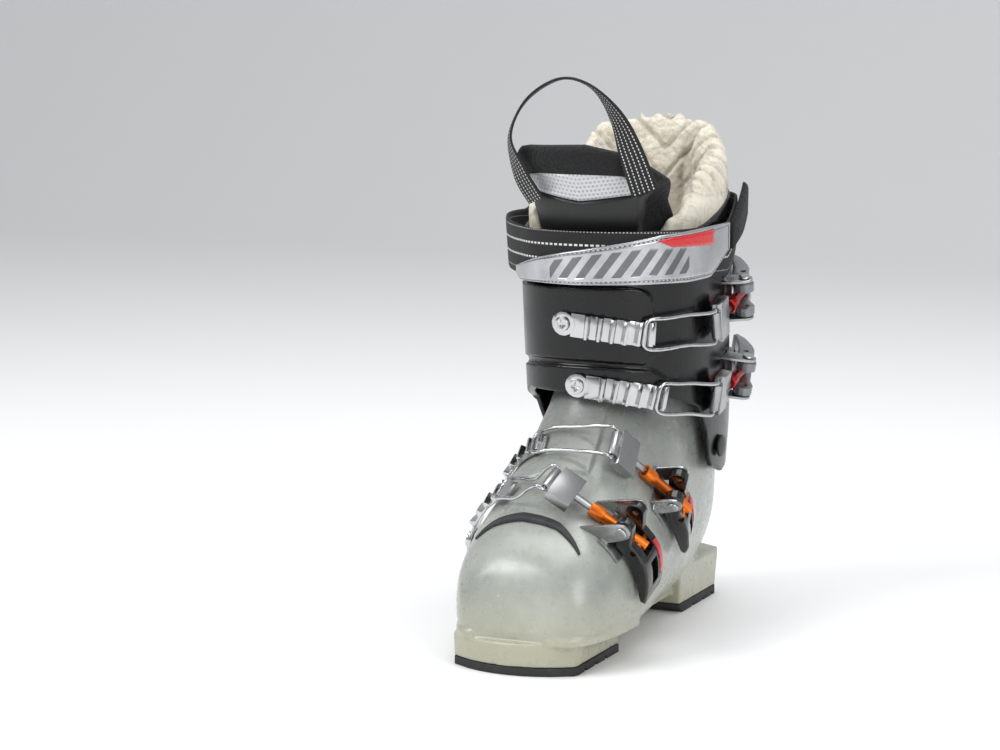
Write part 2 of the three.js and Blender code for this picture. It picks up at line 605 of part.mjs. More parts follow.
// Thin covers bonded to the front of the tongue, as [place across, station] outlines.
function tongueCover(name, places, edges, thickness, columns, rows, look) {
  const across = (t) => lerp(places[0], places[1], t);
  const lifts = (t, h) => {
    const [low, high] = edges(t);
    const face = tongueFace(across(t), lerp(low, high, h));
    return [face + 1.1, face + 1.1 + thickness];
  };
  const span = places.map((place) => lerp(TONGUE_SPAN[0], TONGUE_SPAN[1], place));
  addPart(name, patch(CUFF, span, edges, lifts, columns, rows), look);
}

function makeTongueCovers() {
  const upper = (t) => [table([[0, 4.66], [0.5, 4.45], [1, 4.6]], t),
    table([[0, 4.72], [0.25, 4.84], [0.75, 4.84], [1, 4.64]], t)];
  tongueCover("tongue_upper_panel", [0.15, 0.8], upper, 0.9, 13, 2, "panel");
  const lower = (t) => [2.7, table([[0, 4.62], [0.5, 4.41], [1, 4.56]], t)];
  tongueCover("tongue_lower_panel", [0.15, 0.8], lower, 1.1, 13, 5, "softshell");
}

// --------------------------------------------------------- strap, badge, loop
const STRAP = { low: 3.2, high: 4.02, thickness: 2.2, slack: 11, rise: 0.12, back: 0.42 };
const STRAP_RIVET = { head: 5.5, shank: 2.2, y: 82.6, z: 247 };

function strapLift(degrees) {
  const away = Math.abs(((degrees + 85 + 540) % 360) - 180);
  return 0.6 + STRAP.slack * Math.exp(-((away / 34) ** 2));
}

function makeStrap() {
  const edges = (t) => {
    const degrees = t * 360 - 180;
    const slack = STRAP.rise * (strapLift(degrees) - 0.6) / STRAP.slack;
    const back = table([[0, 0], [94, 0], [112, STRAP.back], [180, STRAP.back]], Math.abs(degrees));
    return [STRAP.low + slack + back, STRAP.high + slack + back * 0.8];
  };
  const lifts = (t) => {
    const base = Math.max(strapLift(t * 360 - 180), 2.6);
    return [base, base + STRAP.thickness];
  };
  const band = patch(CUFF, [-180, 180], edges, lifts, 44, 1, true);
  const bore = cylinderY(STRAP_RIVET.shank + GAP, 60, 100, 0, STRAP_RIVET.z, 12);
  addPart("power_strap", cut(band, bore), "webbing");
  const head = cylinderY(STRAP_RIVET.head, STRAP_RIVET.y, STRAP_RIVET.y + 1.6, 0, STRAP_RIVET.z);
  const shank = cylinderY(STRAP_RIVET.shank, 74, STRAP_RIVET.y + 0.5, 0, STRAP_RIVET.z, 12);
  addPart("strap_rivet", join(head, shank), "steel");
}

function makeStrapEnd() {
  const edges = (t) => [table([[0, 3.62], [0.5, 3.78], [1, 4.1]], t), table([[0, 4.0], [0.35, 4.28], [0.75, 4.55], [1, 4.5]], t)];
  const lifts = (t) => {
    const base = 2.6 + STRAP.thickness + GAP + 4 * t ** 1.6;
    return [base, base + 3];
  };
  addPart("strap_end", patch(CUFF, [95.5, 124], edges, lifts, 8, 3), "fleece");
}

function badgeEdges(t) {
  const degrees = lerp(-46, 94, t);
  const low = table([[-46, 3.26], [-40, 3.12], [0, 3.1], [60, 3.16], [76, 3.22], [94, 3.66]], degrees);
  const high = table([[-46, 3.36], [-20, 3.58], [10, 3.78], [43, 3.96], [77, 4.03], [94, 4.04]], degrees);
  return [low, high];
}

function badgeBase(degrees) {
  return Math.max(strapLift(degrees), 2.6) + STRAP.thickness + GAP;
}

function makeBadge() {
  const lifts = (t, h) => {
    const base = badgeBase(lerp(-46, 94, t));
    const rim = h < 0.01 || h > 0.99 ? 0.7 : 1.3;
    return [base, base + rim];
  };
  addPart("strap_badge", patch(CUFF, [-46, 94], badgeEdges, lifts, 24, 3), "badge");
  const redEdges = (t) => [table([[0, 3.86], [0.2, 3.76], [1, 3.74]], t), table([[0, 3.88], [0.2, 3.92], [1, 3.98]], t)];
  const redLifts = (t) => {
    const base = badgeBase(lerp(42, 78, t)) + 1.3 + GAP;
    return [base, base + 0.9];
  };
  addPart("badge_inset", patch(CUFF, [42, 78], redEdges, redLifts, 6, 1), "red");
}

const LOOP_WIDTH = 17;
const LOOP_THICKNESS = 1.8;
const LOOP_PATH = [
  { at: [-26, -90, 268], wide: [0.8, -0.5, 0.2] },
  { at: [-35, -93, 284], wide: [0.75, -0.6, 0.3] },
  { at: [-43, -91, 306], wide: [0.45, -0.85, 0] },
  { at: [-34, -87, 328], wide: [0.3, -0.9, 0] },
  { at: [-13, -85, 341], wide: [0.15, -1, 0] },
  { at: [7, -86, 337], wide: [0.2, -0.9, 0.2] },
  { at: [24, -88, 320], wide: [0.55, -0.6, 0.4] },
  { at: [36, -92, 298], wide: [0.85, -0.1, 0.3] },
  { at: [44, -90, 275], wide: [0.93, 0.25, 0.25] },
];

function makeLoop() {
  const path = new THREE.CatmullRomCurve3(LOOP_PATH.map((p) => new THREE.Vector3(...p.at)));
  const count = 36;
  const points = [];
  for (let i = 0; i <= count; i++) points.push(path.getPoint(i / count));
  const rows = LOOP_PATH.map((p) => p.wide);
  const sideAt = (i) => new THREE.Vector3(...splineRow(rows, i / count * (rows.length - 1)));
  sideAt.fixed = true;
  const [a, b] = [LOOP_WIDTH / 2, LOOP_THICKNESS / 2];
  const section = [[-a, -b], [a, -b], [a, b], [-a, b]];
  addPart("pull_loop", sweep(points, section, sideAt), "webbing");
}

// ------------------------------------------------------------------- buckles
function prepareBuckle(buckle) {
  const controls = buckle.line;
  const samples = pullLine(buckle.shell, controls, buckle.hook);
  buckle.samples = samples;
  buckle.screwAt = -buckle.rackLength - 1;
  buckle.blockAt = samples[buckle.block * 12].s;
  buckle.pivotS = buckle.blockAt + buckle.pivotAt;
  const pivot = onLine(buckle.shell, samples, buckle.pivotS, 0, buckle.pivotLift);
  const blockPoint = onLine(buckle.shell, samples, buckle.blockAt, 0, buckle.blockLift);
  const tail = onLine(buckle.shell, samples, buckle.pivotS + buckle.leverLength * 0.8, 0, buckle.tailLift);
  const forward = tail.point.clone().sub(pivot.point).normalize();
  const hingeAxis = forward.clone().cross(blockPoint.point.clone().sub(pivot.point)).normalize();
  const outward = forward.clone().cross(hingeAxis);
  if (outward.dot(pivot.normal) < 0) outward.negate();
  buckle.leverFrame = frameFrom(pivot.point, forward, outward);
  buckle.toLever = buckle.leverFrame.clone().invert();
  buckle.pin = new THREE.Vector3(buckle.pivotToPin, 0, PIN_DROP).applyMatrix4(buckle.leverFrame);
  const across = new THREE.Vector3(0, 1, 0).transformDirection(buckle.leverFrame);
  const pull = blockPoint.point.clone().sub(buckle.pin);
  buckle.reach = pull.length();
  const raised = across.clone().cross(pull).normalize();
  if (raised.dot(blockPoint.normal) < 0) raised.negate();
  buckle.barrelFrame = frameFrom(buckle.pin, pull, raised);
}

function placed(geometry, buckle, s, lift = 0) {
  const { point, normal, tangent } = onLine(buckle.shell, buckle.samples, s, 0, lift);
  return geometry.applyMatrix4(frameFrom(point, tangent, normal));
}

// Height of the shell under a lever, in the lever's own frame.
function shellUnder(buckle, x, y) {
  const local = (s) => onLine(buckle.shell, buckle.samples, s, y, 0).point.applyMatrix4(buckle.toLever);
  let s = buckle.pivotS + x;
  for (let i = 0; i < 4; i++) s += x - local(s).x;
  return local(s).z;
}

// Closed solid from two facing grids: at(i, j, face) gives the point in row i, column j.
function gridSolid(rows, columns, at) {
  const points = [];
  for (const face of [0, 1]) {
    for (let i = 0; i <= rows; i++) {
      for (let j = 0; j <= columns; j++) points.push(at(i, j, face));
    }
  }
  const id = (face, i, j) => (face * (rows + 1) + i) * (columns + 1) + j;
  const triangles = [];
  const quad = (a, b, c, d) => triangles.push(a, b, c, a, c, d);
  for (let i = 0; i < rows; i++) {
    for (let j = 0; j < columns; j++) {
      quad(id(0, i, j), id(0, i, j + 1), id(0, i + 1, j + 1), id(0, i + 1, j));
      quad(id(1, i, j), id(1, i + 1, j), id(1, i + 1, j + 1), id(1, i, j + 1));
    }
    quad(id(0, i, 0), id(0, i + 1, 0), id(1, i + 1, 0), id(1, i, 0));
    quad(id(0, i, columns), id(1, i, columns), id(1, i + 1, columns), id(0, i + 1, columns));
  }
  for (let j = 0; j < columns; j++) {
    quad(id(0, 0, j), id(1, 0, j), id(1, 0, j + 1), id(0, 0, j + 1));
    quad(id(0, rows, j), id(0, rows, j + 1), id(1, rows, j + 1), id(1, rows, j));
  }
  return surfaceMesh(points, triangles);
}

// Flat ring round the z axis.
function washer(radius, bore, z0, z1, sides) {
  const section = [[bore, z0], [radius, z0], [radius, z1], [bore, z1]];
  const points = [];
  for (let i = 0; i < sides; i++) {
    const a = TURN * i / sides;
    section.forEach(([r, z]) => points.push(new THREE.Vector3(r * Math.cos(a), r * Math.sin(a), z)));
  }
  const triangles = [];
  for (let i = 0; i < sides; i++) {
    for (let k = 0; k < 4; k++) {
      const [a, b] = [i * 4 + k, i * 4 + (k + 1) % 4];
      const [c, d] = [(i + 1) % sides * 4 + (k + 1) % 4, (i + 1) % sides * 4 + k];
      triangles.push(a, c, b, a, d, c);
    }
  }
  return surfaceMesh(points, triangles);
}

// Heights of a toothed bar along its length, as [x, z].
function rackTop(buckle) {
  const last = -buckle.screwAt + RACK.pitch / 2;
  const [plate, crest] = [RACK.plate, RACK.plate + RACK.tooth];
  const top = [[RACK.endRadius - 2.5, plate]];
  for (let k = buckle.teeth - 1; k >= 0; k--) {
    const x = last - k * RACK.pitch;
    top.push([x - 1.6, plate], [x - 0.2, crest], [x + 1.2, crest], [x + 2, plate]);
  }
  top.push([last + 4, plate]);
  return top;
}

function makeRack(buckle) {
  const half = RACK.width / 2;
  const top = rackTop(buckle);
  const bar = gridSolid(top.length - 1, 2, (i, j, face) => (
    new THREE.Vector3(top[i][0], (j - 1) * half, face ? top[i][1] : RACK.relief)));
  const end = washer(RACK.endRadius, SCREW.shankRadius + GAP, 0, RACK.plate + RACK.relief, 14);
  const laid = (piece) => bend(piece.translate(0, 0, rackLift(buckle)), buckle, buckle.screwAt);
  addPart(`${buckle.name}_rack`, join(laid(bar), laid(end)), "steel");
  const head = cylinderZ(SCREW.headRadius, 0, SCREW.head, 16);
  const shank = cylinderZ(SCREW.shankRadius, -5, 0.5, 10);
  const slots = [box(-3, 3, -0.6, 0.6, 0.8, 3), box(-0.6, 0.6, -3, 3, 0.8, 3)];
  const screw = cut(join(head, shank), ...slots);
  const lift = rackLift(buckle) + RACK.plate + RACK.relief + GAP;
  addPart(`${buckle.name}_rack_screw`, placed(screw, buckle, buckle.screwAt, lift), "steel");
}

// Racks sit on the raised tab or flap, the rest straight on the shell.
const rackLift = (buckle) => (buckle.shell === CUFF ? TAB_LIFT : FLAP_LIFT) + RACK.gap;

function makeBail(buckle) {
  const hingeX = buckle.reach + BLOCK.length / 2 + BLOCK.hinge;
  const hinge = (side, ahead = 0) => new THREE.Vector3(hingeX + ahead, -side, 0).applyMatrix4(buckle.barrelFrame);
  const seat = rackLift(buckle) + RACK.plate + WIRE + GAP;
  const start = buckle.blockAt - BLOCK.length / 2 - BLOCK.hinge;
  const over = (s, t, lift) => onLine(buckle.shell, buckle.samples, s, t, lift).point;
  const half = [
    hinge(HINGE_HALF, 0), hinge(HINGE_HALF, 5),
    over(lerp(4, start, 0.5), BAIL_HALF, lerp(seat, 6, 0.45)), over(lerp(4, start, 0.2), BAIL_HALF, lerp(seat, 6, 0.1)),
    over(4, BAIL_HALF, seat), over(1.2, BAIL_HALF - 1.2, seat), over(0, BAIL_HALF - 4, seat), over(0, 0, seat),
  ];
  const other = [
    over(0, 4 - BAIL_HALF, seat), over(1.2, 1.2 - BAIL_HALF, seat), over(4, -BAIL_HALF, seat),
    over(lerp(4, start, 0.2), -BAIL_HALF, lerp(seat, 6, 0.1)), over(lerp(4, start, 0.5), -BAIL_HALF, lerp(seat, 6, 0.45)),
    hinge(-HINGE_HALF, 5), hinge(-HINGE_HALF, 0),
  ];
  const path = new THREE.CatmullRomCurve3([...half, ...other], false, "centripetal").getPoints(30);
  const points = [hinge(4.6), hinge(HINGE_HALF - 1.2), ...path, hinge(1.2 - HINGE_HALF), hinge(-4.6)];
  addPart(`${buckle.name}_bail`, wire(points, WIRE, 6), "steel");
}

function makeBlock(buckle) {
  const { reach, barrelFrame } = buckle;
  const half = BLOCK.length / 2;
  const body = box(reach - half, reach + half, -BLOCK.width / 2, BLOCK.width / 2, -BLOCK.height / 2, BLOCK.height / 2);
  const hingeX = reach + half + BLOCK.hinge;
  const barrel = cylinderY(BLOCK.hinge, -8.4, 8.4, hingeX, 0, 12);
  const web = box(reach + half - 1, hingeX, -8.4, 8.4, -2, 2);
  const bore = cylinderY(WIRE + GAP, -9, 9, hingeX, 0, 10);
  const rod = cylinderX(ROD_RADIUS, 20, reach - half + 1, 0, 0, 10);
  const solid = cut(join(body, barrel, web, rod), bore);
  addPart(`${buckle.name}_block`, solid.applyMatrix4(barrelFrame), "zinc");
}

function makeBarrel(buckle) {
  const length = buckle.reach - BLOCK.length / 2 - 11;
  const body = cylinderX(BARREL.radius, -BARREL.tail, length, 0, 0, 12);
  const collar = cylinderX(BARREL.collar, length - BARREL.collarLength, length, 0, 0, 12);
  const trunnion = cylinderY(1.6, -9, 9, 0, 0, 8);
  const bore = cylinderX(ROD_RADIUS + GAP, 18.5, length + 1, 0, 0, 10);
  const solid = cut(join(body, collar, trunnion), bore);
  addPart(`${buckle.name}_adjuster`, solid.applyMatrix4(buckle.barrelFrame), [buckle.barrel, 0.3, 0.7]);
}

function leverBottom(buckle, x) {
  const half = LEVER.width / 2;
  return Math.max(...[-half, 0, half].map((y) => shellUnder(buckle, x, y))) + 2.2;
}

function leverHeight(buckle, x) {
  return table([[-LEVER.front, 7.5], [4, LEVER.height], [buckle.leverLength * 0.55, LEVER.height],
    [buckle.leverLength, LEVER.tip]], x);
}

function leverProfile(buckle) {
  const length = buckle.leverLength;
  const nose = [];
  for (let k = 0; k <= 6; k++) {
    const a = Math.PI / 2 + Math.PI * k / 6;
    nose.push([LEVER.front * Math.cos(a), LEVER.front * Math.sin(a)]);
  }
  const stops = [0.22, 0.36, 0.5, 0.64, 0.78, 0.9, 1];
  const bottom = stops.map((f) => [length * f, leverBottom(buckle, length * f)]);
  const top = stops.map((f) => [length * f - (f === 1 ? 2 : 0), leverBottom(buckle, length * f) + leverHeight(buckle, length * f)]);
  const tipX = length + 2;
  const tipZ = leverBottom(buckle, length) + LEVER.tip / 2;
  return [...nose, ...bottom, [tipX, tipZ], ...top.reverse()];
}

// Solid from an [x, z] outline in a buckle frame, running from y0 to y1.
function slab(outline, y0, y1, bevel = 0) {
  const shape = new THREE.Shape(outline.map(([x, z]) => new THREE.Vector2(x, z)));
  const options = bevel
    ? { depth: y1 - y0 - 2 * bevel, bevelThickness: bevel, bevelSize: bevel, bevelOffset: -bevel, bevelSegments: 1 }
    : { depth: y1 - y0, bevelEnabled: false };
  const geometry = new THREE.ExtrudeGeometry(shape, options);
  return geometry.rotateX(Math.PI / 2).translate(0, y1 - bevel, 0);
}

function makeLever(buckle) {
  const half = LEVER.width / 2;
  const length = buckle.leverLength;
  const outline = leverProfile(buckle);
  const body = slab(outline, -half, half, 1);
  const inner = LEVER.channel / 2;
  const channel = box(-20, buckle.pivotToPin + 6.5, -inner, inner, -40, 30);
  const window = box(buckle.pivotToPin + 12, length - 7, -inner * 0.72, inner * 0.72, -60, 30);
  const pivotBore = cylinderY(LEVER.pinRadius + GAP, -half - 1, half + 1, 0, 0, 10);
  const pinBore = cylinderY(1.6 + GAP, -half - 1, half + 1, buckle.pivotToPin, PIN_DROP, 8);
  const pocket = inlaySolid(buckle, 0.25);
  const lever = cut(body, channel, window, pivotBore, pinBore, pocket);
  addPart(`${buckle.name}_lever`, lever.applyMatrix4(buckle.leverFrame), [buckle.lever, 0.35, 0.1]);
  addPart(`${buckle.name}_lever_inlay`, inlaySolid(buckle, 0).applyMatrix4(buckle.leverFrame), [buckle.inlay, 0.4, 0]);
}

function inlaySolid(buckle, grow) {
  const from = buckle.pivotToPin + 3.5;
  const to = buckle.leverLength * 0.84;
  const side = buckle.pinSide < 0 ? 1 : -1;
  const stops = [0, 0.25, 0.5, 0.75, 1].map((f) => lerp(from - grow, to + grow, f));
  const top = (x) => leverBottom(buckle, x) + leverHeight(buckle, x);
  const upper = stops.map((x) => [x, top(x) + 0.5 + grow * 4]);
  const lower = stops.map((x) => [x, top(x) - 1.1 - grow]).reverse();
  const span = [6.2 - grow, 10 + grow];
  const [y0, y1] = side > 0 ? span : [-span[1], -span[0]];
  return slab([...upper, ...lower], y0, y1);
}

// The shell a buckle stands on, grown by the clearance, to trim its base against.
function seatOf(buckle) {
  return buckle.shell === SHELL ? outerShell(GAP) : outerCuff(GAP);
}

function makeBracket(buckle) {
  const inner = LEVER.width / 2 + EAR.gap;
  const outer = inner + EAR.thickness;
  const plate = new THREE.BoxGeometry(18, 2 * outer + 4, BASE_PLATE.depth, 3, 4, 1);
  plate.translate(3, 0, BASE_PLATE.lift + BASE_PLATE.thickness - BASE_PLATE.depth / 2);
  const parts = [bend(plate, buckle, buckle.pivotS)];
  for (const side of [-1, 1]) {
    const outline = [[-5, -buckle.pivotLift - 16], [9, -buckle.pivotLift - 12]];
    for (let k = 0; k <= 5; k++) {
      const a = Math.PI * k / 5;
      outline.push([EAR.radius * Math.cos(a), EAR.radius * Math.sin(a)]);
    }
    const [y0, y1] = side > 0 ? [inner, outer] : [-outer, -inner];
    parts.push(slab(outline, y0, y1).applyMatrix4(buckle.leverFrame));
    const [p0, p1] = side > 0 ? [6.2, outer - 0.5] : [-outer + 0.5, -6.2];
    parts.push(cylinderY(LEVER.pinRadius, p0, p1, 0, 0, 10).applyMatrix4(buckle.leverFrame));
  }
  const channel = box(-6, buckle.reach - 8, -5.4, 5.4, -5.2, 8).applyMatrix4(buckle.barrelFrame);
  addPart(`${buckle.name}_bracket`, cut(join(...parts), seatOf(buckle), channel), "zinc");
  const side = buckle.pinSide;
  const y = outer + GAP;
  const rivet = side > 0 ? cylinderY(3.5, y, y + 1.2, 0, 0, 20) : cylinderY(3.5, -y - 1.2, -y, 0, 0, 20);
  addPart(`${buckle.name}_pin`, rivet.applyMatrix4(buckle.leverFrame), "steel");
}

BUCKLES.forEach(prepareBuckle);
makeSoles();
makeLowerShell();
makeSeal();
makeFootInside();
makeCuff();
makePivots();
makeLinerCuff();
makeTongue();
makeTongueCovers();
makeStrap();
makeStrapEnd();
makeBadge();
makeLoop();
for (const buckle of BUCKLES) {
  makeRack(buckle);
  makeBail(buckle);
  makeBlock(buckle);
  makeBarrel(buckle);
  makeLever(buckle);
  makeBracket(buckle);
}

// Stand the boot over the origin, the middle of its outline seen from above.
const middle = new THREE.Box3().setFromObject(boot).getCenter(new THREE.Vector3());
boot.children.forEach((mesh) => mesh.geometry.translate(-middle.x, -middle.y, 0));

export default boot;
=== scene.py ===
import json
import math

import bmesh
import bpy
import numpy as np
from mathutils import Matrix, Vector, noise


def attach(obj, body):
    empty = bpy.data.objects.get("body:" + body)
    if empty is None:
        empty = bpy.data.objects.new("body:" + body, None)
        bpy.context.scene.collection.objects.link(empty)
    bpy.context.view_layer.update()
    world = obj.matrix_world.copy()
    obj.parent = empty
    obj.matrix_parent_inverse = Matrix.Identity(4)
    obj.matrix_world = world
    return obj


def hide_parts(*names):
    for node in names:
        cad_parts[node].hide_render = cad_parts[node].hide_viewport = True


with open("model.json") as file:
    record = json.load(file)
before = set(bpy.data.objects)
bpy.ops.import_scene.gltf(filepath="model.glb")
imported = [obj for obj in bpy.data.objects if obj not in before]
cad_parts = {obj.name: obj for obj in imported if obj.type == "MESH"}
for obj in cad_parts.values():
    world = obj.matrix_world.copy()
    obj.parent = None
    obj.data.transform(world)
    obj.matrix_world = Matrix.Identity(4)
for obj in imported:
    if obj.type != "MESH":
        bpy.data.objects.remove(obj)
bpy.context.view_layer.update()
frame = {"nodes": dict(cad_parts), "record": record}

record = frame["record"]
node_body = {n: b for b, names in record["behaviour"]["bodies"].items() for n in names}

# ------------------------------------------------------------------ boot surfaces, mm
# The boot is drawn in its own frame; ORIGIN is where the row frame's origin lies in it.
ORIGIN = np.array([1.1993, -51.1483, 0.0])
RAD = math.pi / 180


def to_row(points):
    return (np.asarray(points, float) - ORIGIN) / 1000


# front point y z, back point y z, half widths outer inner, widest place, roundness
SHELL = np.array([
    [-185, 45, -186, 24, 23, 21, 0.4, 2.2, 2.6],
    [-179, 62, -182, 14, 38, 35, 0.42, 2.3, 3],
    [-165, 76, -168, 10, 47, 44, 0.42, 2.3, 3.2],
    [-146, 87, -145, 9, 52, 50, 0.42, 2.3, 3.4],
    [-123, 100, -118, 8, 54, 53, 0.42, 2.2, 3.4],
    [-103, 115, -85, 8, 52, 52, 0.42, 2.1, 3.2],
    [-86, 131, -45, 9, 49, 49, 0.42, 2.1, 3],
    [-74, 147, -5, 11, 47, 47, 0.42, 2.1, 2.8],
    [-65, 158, 38, 16, 46, 46, 0.45, 2.1, 2.5],
    [-61, 167, 74, 34, 46, 46, 0.48, 2.1, 2.3],
    [-60, 173, 81, 68, 47, 47, 0.5, 2.1, 2.2],
    [-61, 179, 79, 108, 48, 48, 0.5, 2.1, 2.2],
    [-63, 186, 77, 150, 49, 49, 0.5, 2.1, 2.2]], float)
CUFF = np.array([
    [-77, 128, 87, 84, 55, 55, 0.5, 2.2, 2.2],
    [-79, 150, 88, 120, 57, 58, 0.5, 2.2, 2.2],
    [-82, 185, 84, 165, 58, 59, 0.5, 2.2, 2.2],
    [-85, 215, 80, 205, 59, 59, 0.5, 2.2, 2.2],
    [-88, 250, 76, 250, 60, 60, 0.5, 2.2, 2.2],
    [-94, 290, 75, 295, 62, 62, 0.5, 2.2, 2.2],
    [-100, 330, 76, 340, 64, 64, 0.5, 2.2, 2.2]], float)
SHELL_WALL = 4.0
CUFF_WALL = 3.5
SHELL_TOP = 11.4
GAP = 0.35
FLAP_LIFT = 1.6
TAB_LIFT = 2.0
LINER_CLEARANCE = 1.4
LINER_WALL = 7.0
TOE_TIP, HEEL_REAR = -190.0, 85.0
TOE_TOP, HEEL_TOP = 19.0, 30.0
TOE_RUBBER, HEEL_RUBBER = 5.0, 6.0
WELT_TOP = TOE_TOP + 4
COLLAR_TOP = 163.0


def spline_rows(rows, u):
    u = np.asarray(u, float)
    last = len(rows) - 1
    i = np.clip(np.floor(u).astype(int), 0, last - 1)
    t = (u - i)[..., None]
    p0 = rows[np.maximum(i - 1, 0)]
    p1 = rows[i]
    p2 = rows[i + 1]
    p3 = rows[np.minimum(i + 2, last)]
    value = 0.5 * (2 * p1 + (p2 - p0) * t + (2 * p0 - 5 * p1 + 4 * p2 - p3) * t * t
                   + (3 * p1 - p0 - 3 * p2 + p3) * t ** 3)
    below = rows[0] + (rows[1] - rows[0]) * u[..., None]
    return np.where((u < 0)[..., None], below, value)


def ring(stations, u, angle, inset=0.0):
    u, angle = np.broadcast_arrays(np.asarray(u, float), np.asarray(angle, float))
    fy, fz, by, bz, outer, inner, mid, upper, lower = np.moveaxis(spline_rows(stations, u), -1, 0)
    c, q = np.cos(angle), np.sin(angle)
    dy, dz = fy - by, fz - bz
    length = np.hypot(dy, dz)
    power = 2 / np.where(c >= 0, upper, lower)
    half = np.where(c >= 0, 1 - mid, mid) * length + inset
    width = np.where(q >= 0, outer, inner) + inset
    along = np.sign(c) * half * np.abs(c) ** power
    side = np.sign(q) * width * np.abs(q) ** power
    y = by + mid * dy + along * dy / length
    z = bz + mid * dz + along * dz / length
    return np.stack([side, y, z], -1)


def on_surface(stations, u, degrees, lift=0.0):
    u, degrees = np.broadcast_arrays(np.asarray(u, float), np.asarray(degrees, float))
    a = degrees * RAD
    top = len(stations) - 1
    along = (ring(stations, np.minimum(u + 0.02, top), a)
             - ring(stations, np.maximum(u - 0.02, 0), a))
    around = ring(stations, u, a + 0.01) - ring(stations, u, a - 0.01)
    normal = np.cross(around, along)
    normal /= np.linalg.norm(normal, axis=-1, keepdims=True)
    lift = np.asarray(lift, float)
    return ring(stations, u, a) + normal * (lift[..., None] if lift.ndim else lift), normal


def table(pairs, t):
    xs, ys = zip(*pairs)
    return np.interp(t, xs, ys)


# ------------------------------------------------------------------ mesh helpers
def mesh_object(name, points, faces, smooth=True, in_row=False):
    mesh = bpy.data.meshes.new(name)
    co = np.asarray(points, float).reshape(-1, 3)
    mesh.from_pydata((co if in_row else to_row(co)).tolist(), [], [list(map(int, f)) for f in faces])
    mesh.update()
    obj = bpy.data.objects.new(name, mesh)
    bpy.context.scene.collection.objects.link(obj)
    if smooth:
        mesh.shade_smooth()
    return obj


def lofted(stations, start, end, rings, around, inset=0.0, name="loft"):
    u = np.linspace(start, end, rings + 1)[:, None]
    a = np.linspace(0, 2 * math.pi, around, endpoint=False)[None, :]
    grid = ring(stations, u, a, inset)
    points = list(grid.reshape(-1, 3))
    faces = []
    for i in range(rings):
        for j in range(around):
            p, q = i * around + j, i * around + (j + 1) % around
            faces.append([p, q, q + around, p + around])
    for end_ring in (0, rings):
        centre = len(points)
        points.append(grid[end_ring].mean(0))
        for j in range(around):
            p, q = end_ring * around + j, end_ring * around + (j + 1) % around
            faces.append([centre, q, p] if end_ring == 0 else [centre, p, q])
    return mesh_object(name, points, faces)


def sheet(name, stations, degrees, edges, lifts, columns, rows, closed=False, skew=None):
    """Closed sheet lying on a boot surface, with its outer side's lengths in mm as its UV map."""
    count = columns if closed else columns + 1
    t = (np.arange(count) / columns)[:, None]
    h = (np.arange(rows + 1) / rows)[None, :]
    low, high = edges(t)
    u = low + (high - low) * h
    deg = degrees[0] + (degrees[1] - degrees[0]) * t + 0 * h
    if skew:
        deg = deg + skew(t, h)
    inner_lift, outer_lift = lifts(t + 0 * h, h + 0 * t)
    inner, _ = on_surface(stations, u, deg, inner_lift)
    outer, _ = on_surface(stations, u, deg, outer_lift)
    points = np.concatenate([inner.reshape(-1, 3), outer.reshape(-1, 3)])
    faces = []

    def vid(face, i, j):
        return (face * count + i % count) * (rows + 1) + j

    for i in range(columns):
        for j in range(rows):
            faces.append([vid(0, i, j), vid(0, i, j + 1), vid(0, i + 1, j + 1), vid(0, i + 1, j)])
            faces.append([vid(1, i, j), vid(1, i + 1, j), vid(1, i + 1, j + 1), vid(1, i, j + 1)])
        faces.append([vid(0, i, 0), vid(0, i + 1, 0), vid(1, i + 1, 0), vid(1, i, 0)])
        faces.append([vid(0, i, rows), vid(1, i, rows), vid(1, i + 1, rows), vid(0, i + 1, rows)])
    if not closed:
        for j in range(rows):
            faces.append([vid(0, 0, j), vid(1, 0, j), vid(1, 0, j + 1), vid(0, 0, j + 1)])
            faces.append([vid(0, columns, j), vid(0, columns, j + 1),
                          vid(1, columns, j + 1), vid(1, columns, j)])
    obj = mesh_object(name, points, faces)
    middle = outer[:, rows // 2]
    step = np.linalg.norm(np.diff(middle, axis=0), axis=1)
    along = np.concatenate([[0], np.cumsum(step)])
    if closed:
        along = np.append(along, along[-1] + np.linalg.norm(middle[0] - middle[-1]))
    rise = np.linalg.norm(np.diff(outer, axis=1), axis=2)
    up = np.concatenate([np.zeros((count, 1)), np.cumsum(rise, axis=1)], axis=1)
    layer = obj.data.uv_layers.new(name="place")
    for poly in obj.data.polygons:
        cols = [(v % (count * (rows + 1))) // (rows + 1) for v in poly.vertices]
        wraps = closed and max(cols) - min(cols) > 1
        for loop, vertex, col in zip(poly.loop_indices, poly.vertices, cols):
            row = vertex % (rows + 1)
            s = along[-1] if wraps and col == 0 else along[col]
            layer.data[loop].uv = (s / 100, up[col, row] / 100)
    return obj


def prism(name, outline, x0, x1):
    n = len(outline)
    points = [(x0, y, z) for y, z in outline] + [(x1, y, z) for y, z in outline]
    faces = [list(range(n))[::-1], [n + k for k in range(n)]]
    for k in range(n):
        m = (k + 1) % n
        faces.append([k, m, n + m, n + k])
    obj = mesh_object(name, points, faces, smooth=False)
    fix_normals(obj)
    return obj


def fix_normals(obj):
    bm = bmesh.new()
    bm.from_mesh(obj.data)
    bmesh.ops.recalc_face_normals(bm, faces=bm.faces)
    bm.to_mesh(obj.data)
    bm.free()


def boolean(obj, tool, operation):
    modifier = obj.modifiers.new("cut", "BOOLEAN")
    modifier.operation = operation
    modifier.object = tool
    modifier.solver = "MANIFOLD"
    bake(obj)
    bpy.data.objects.remove(tool, do_unlink=True)


def bake(obj):
    """Applies an object's modifiers to its mesh."""
    graph = bpy.context.evaluated_depsgraph_get()
    mesh = bpy.data.meshes.new_from_object(obj.evaluated_get(graph))
    obj.modifiers.clear()
    old = obj.data
    obj.data = mesh
    bpy.data.meshes.remove(old)


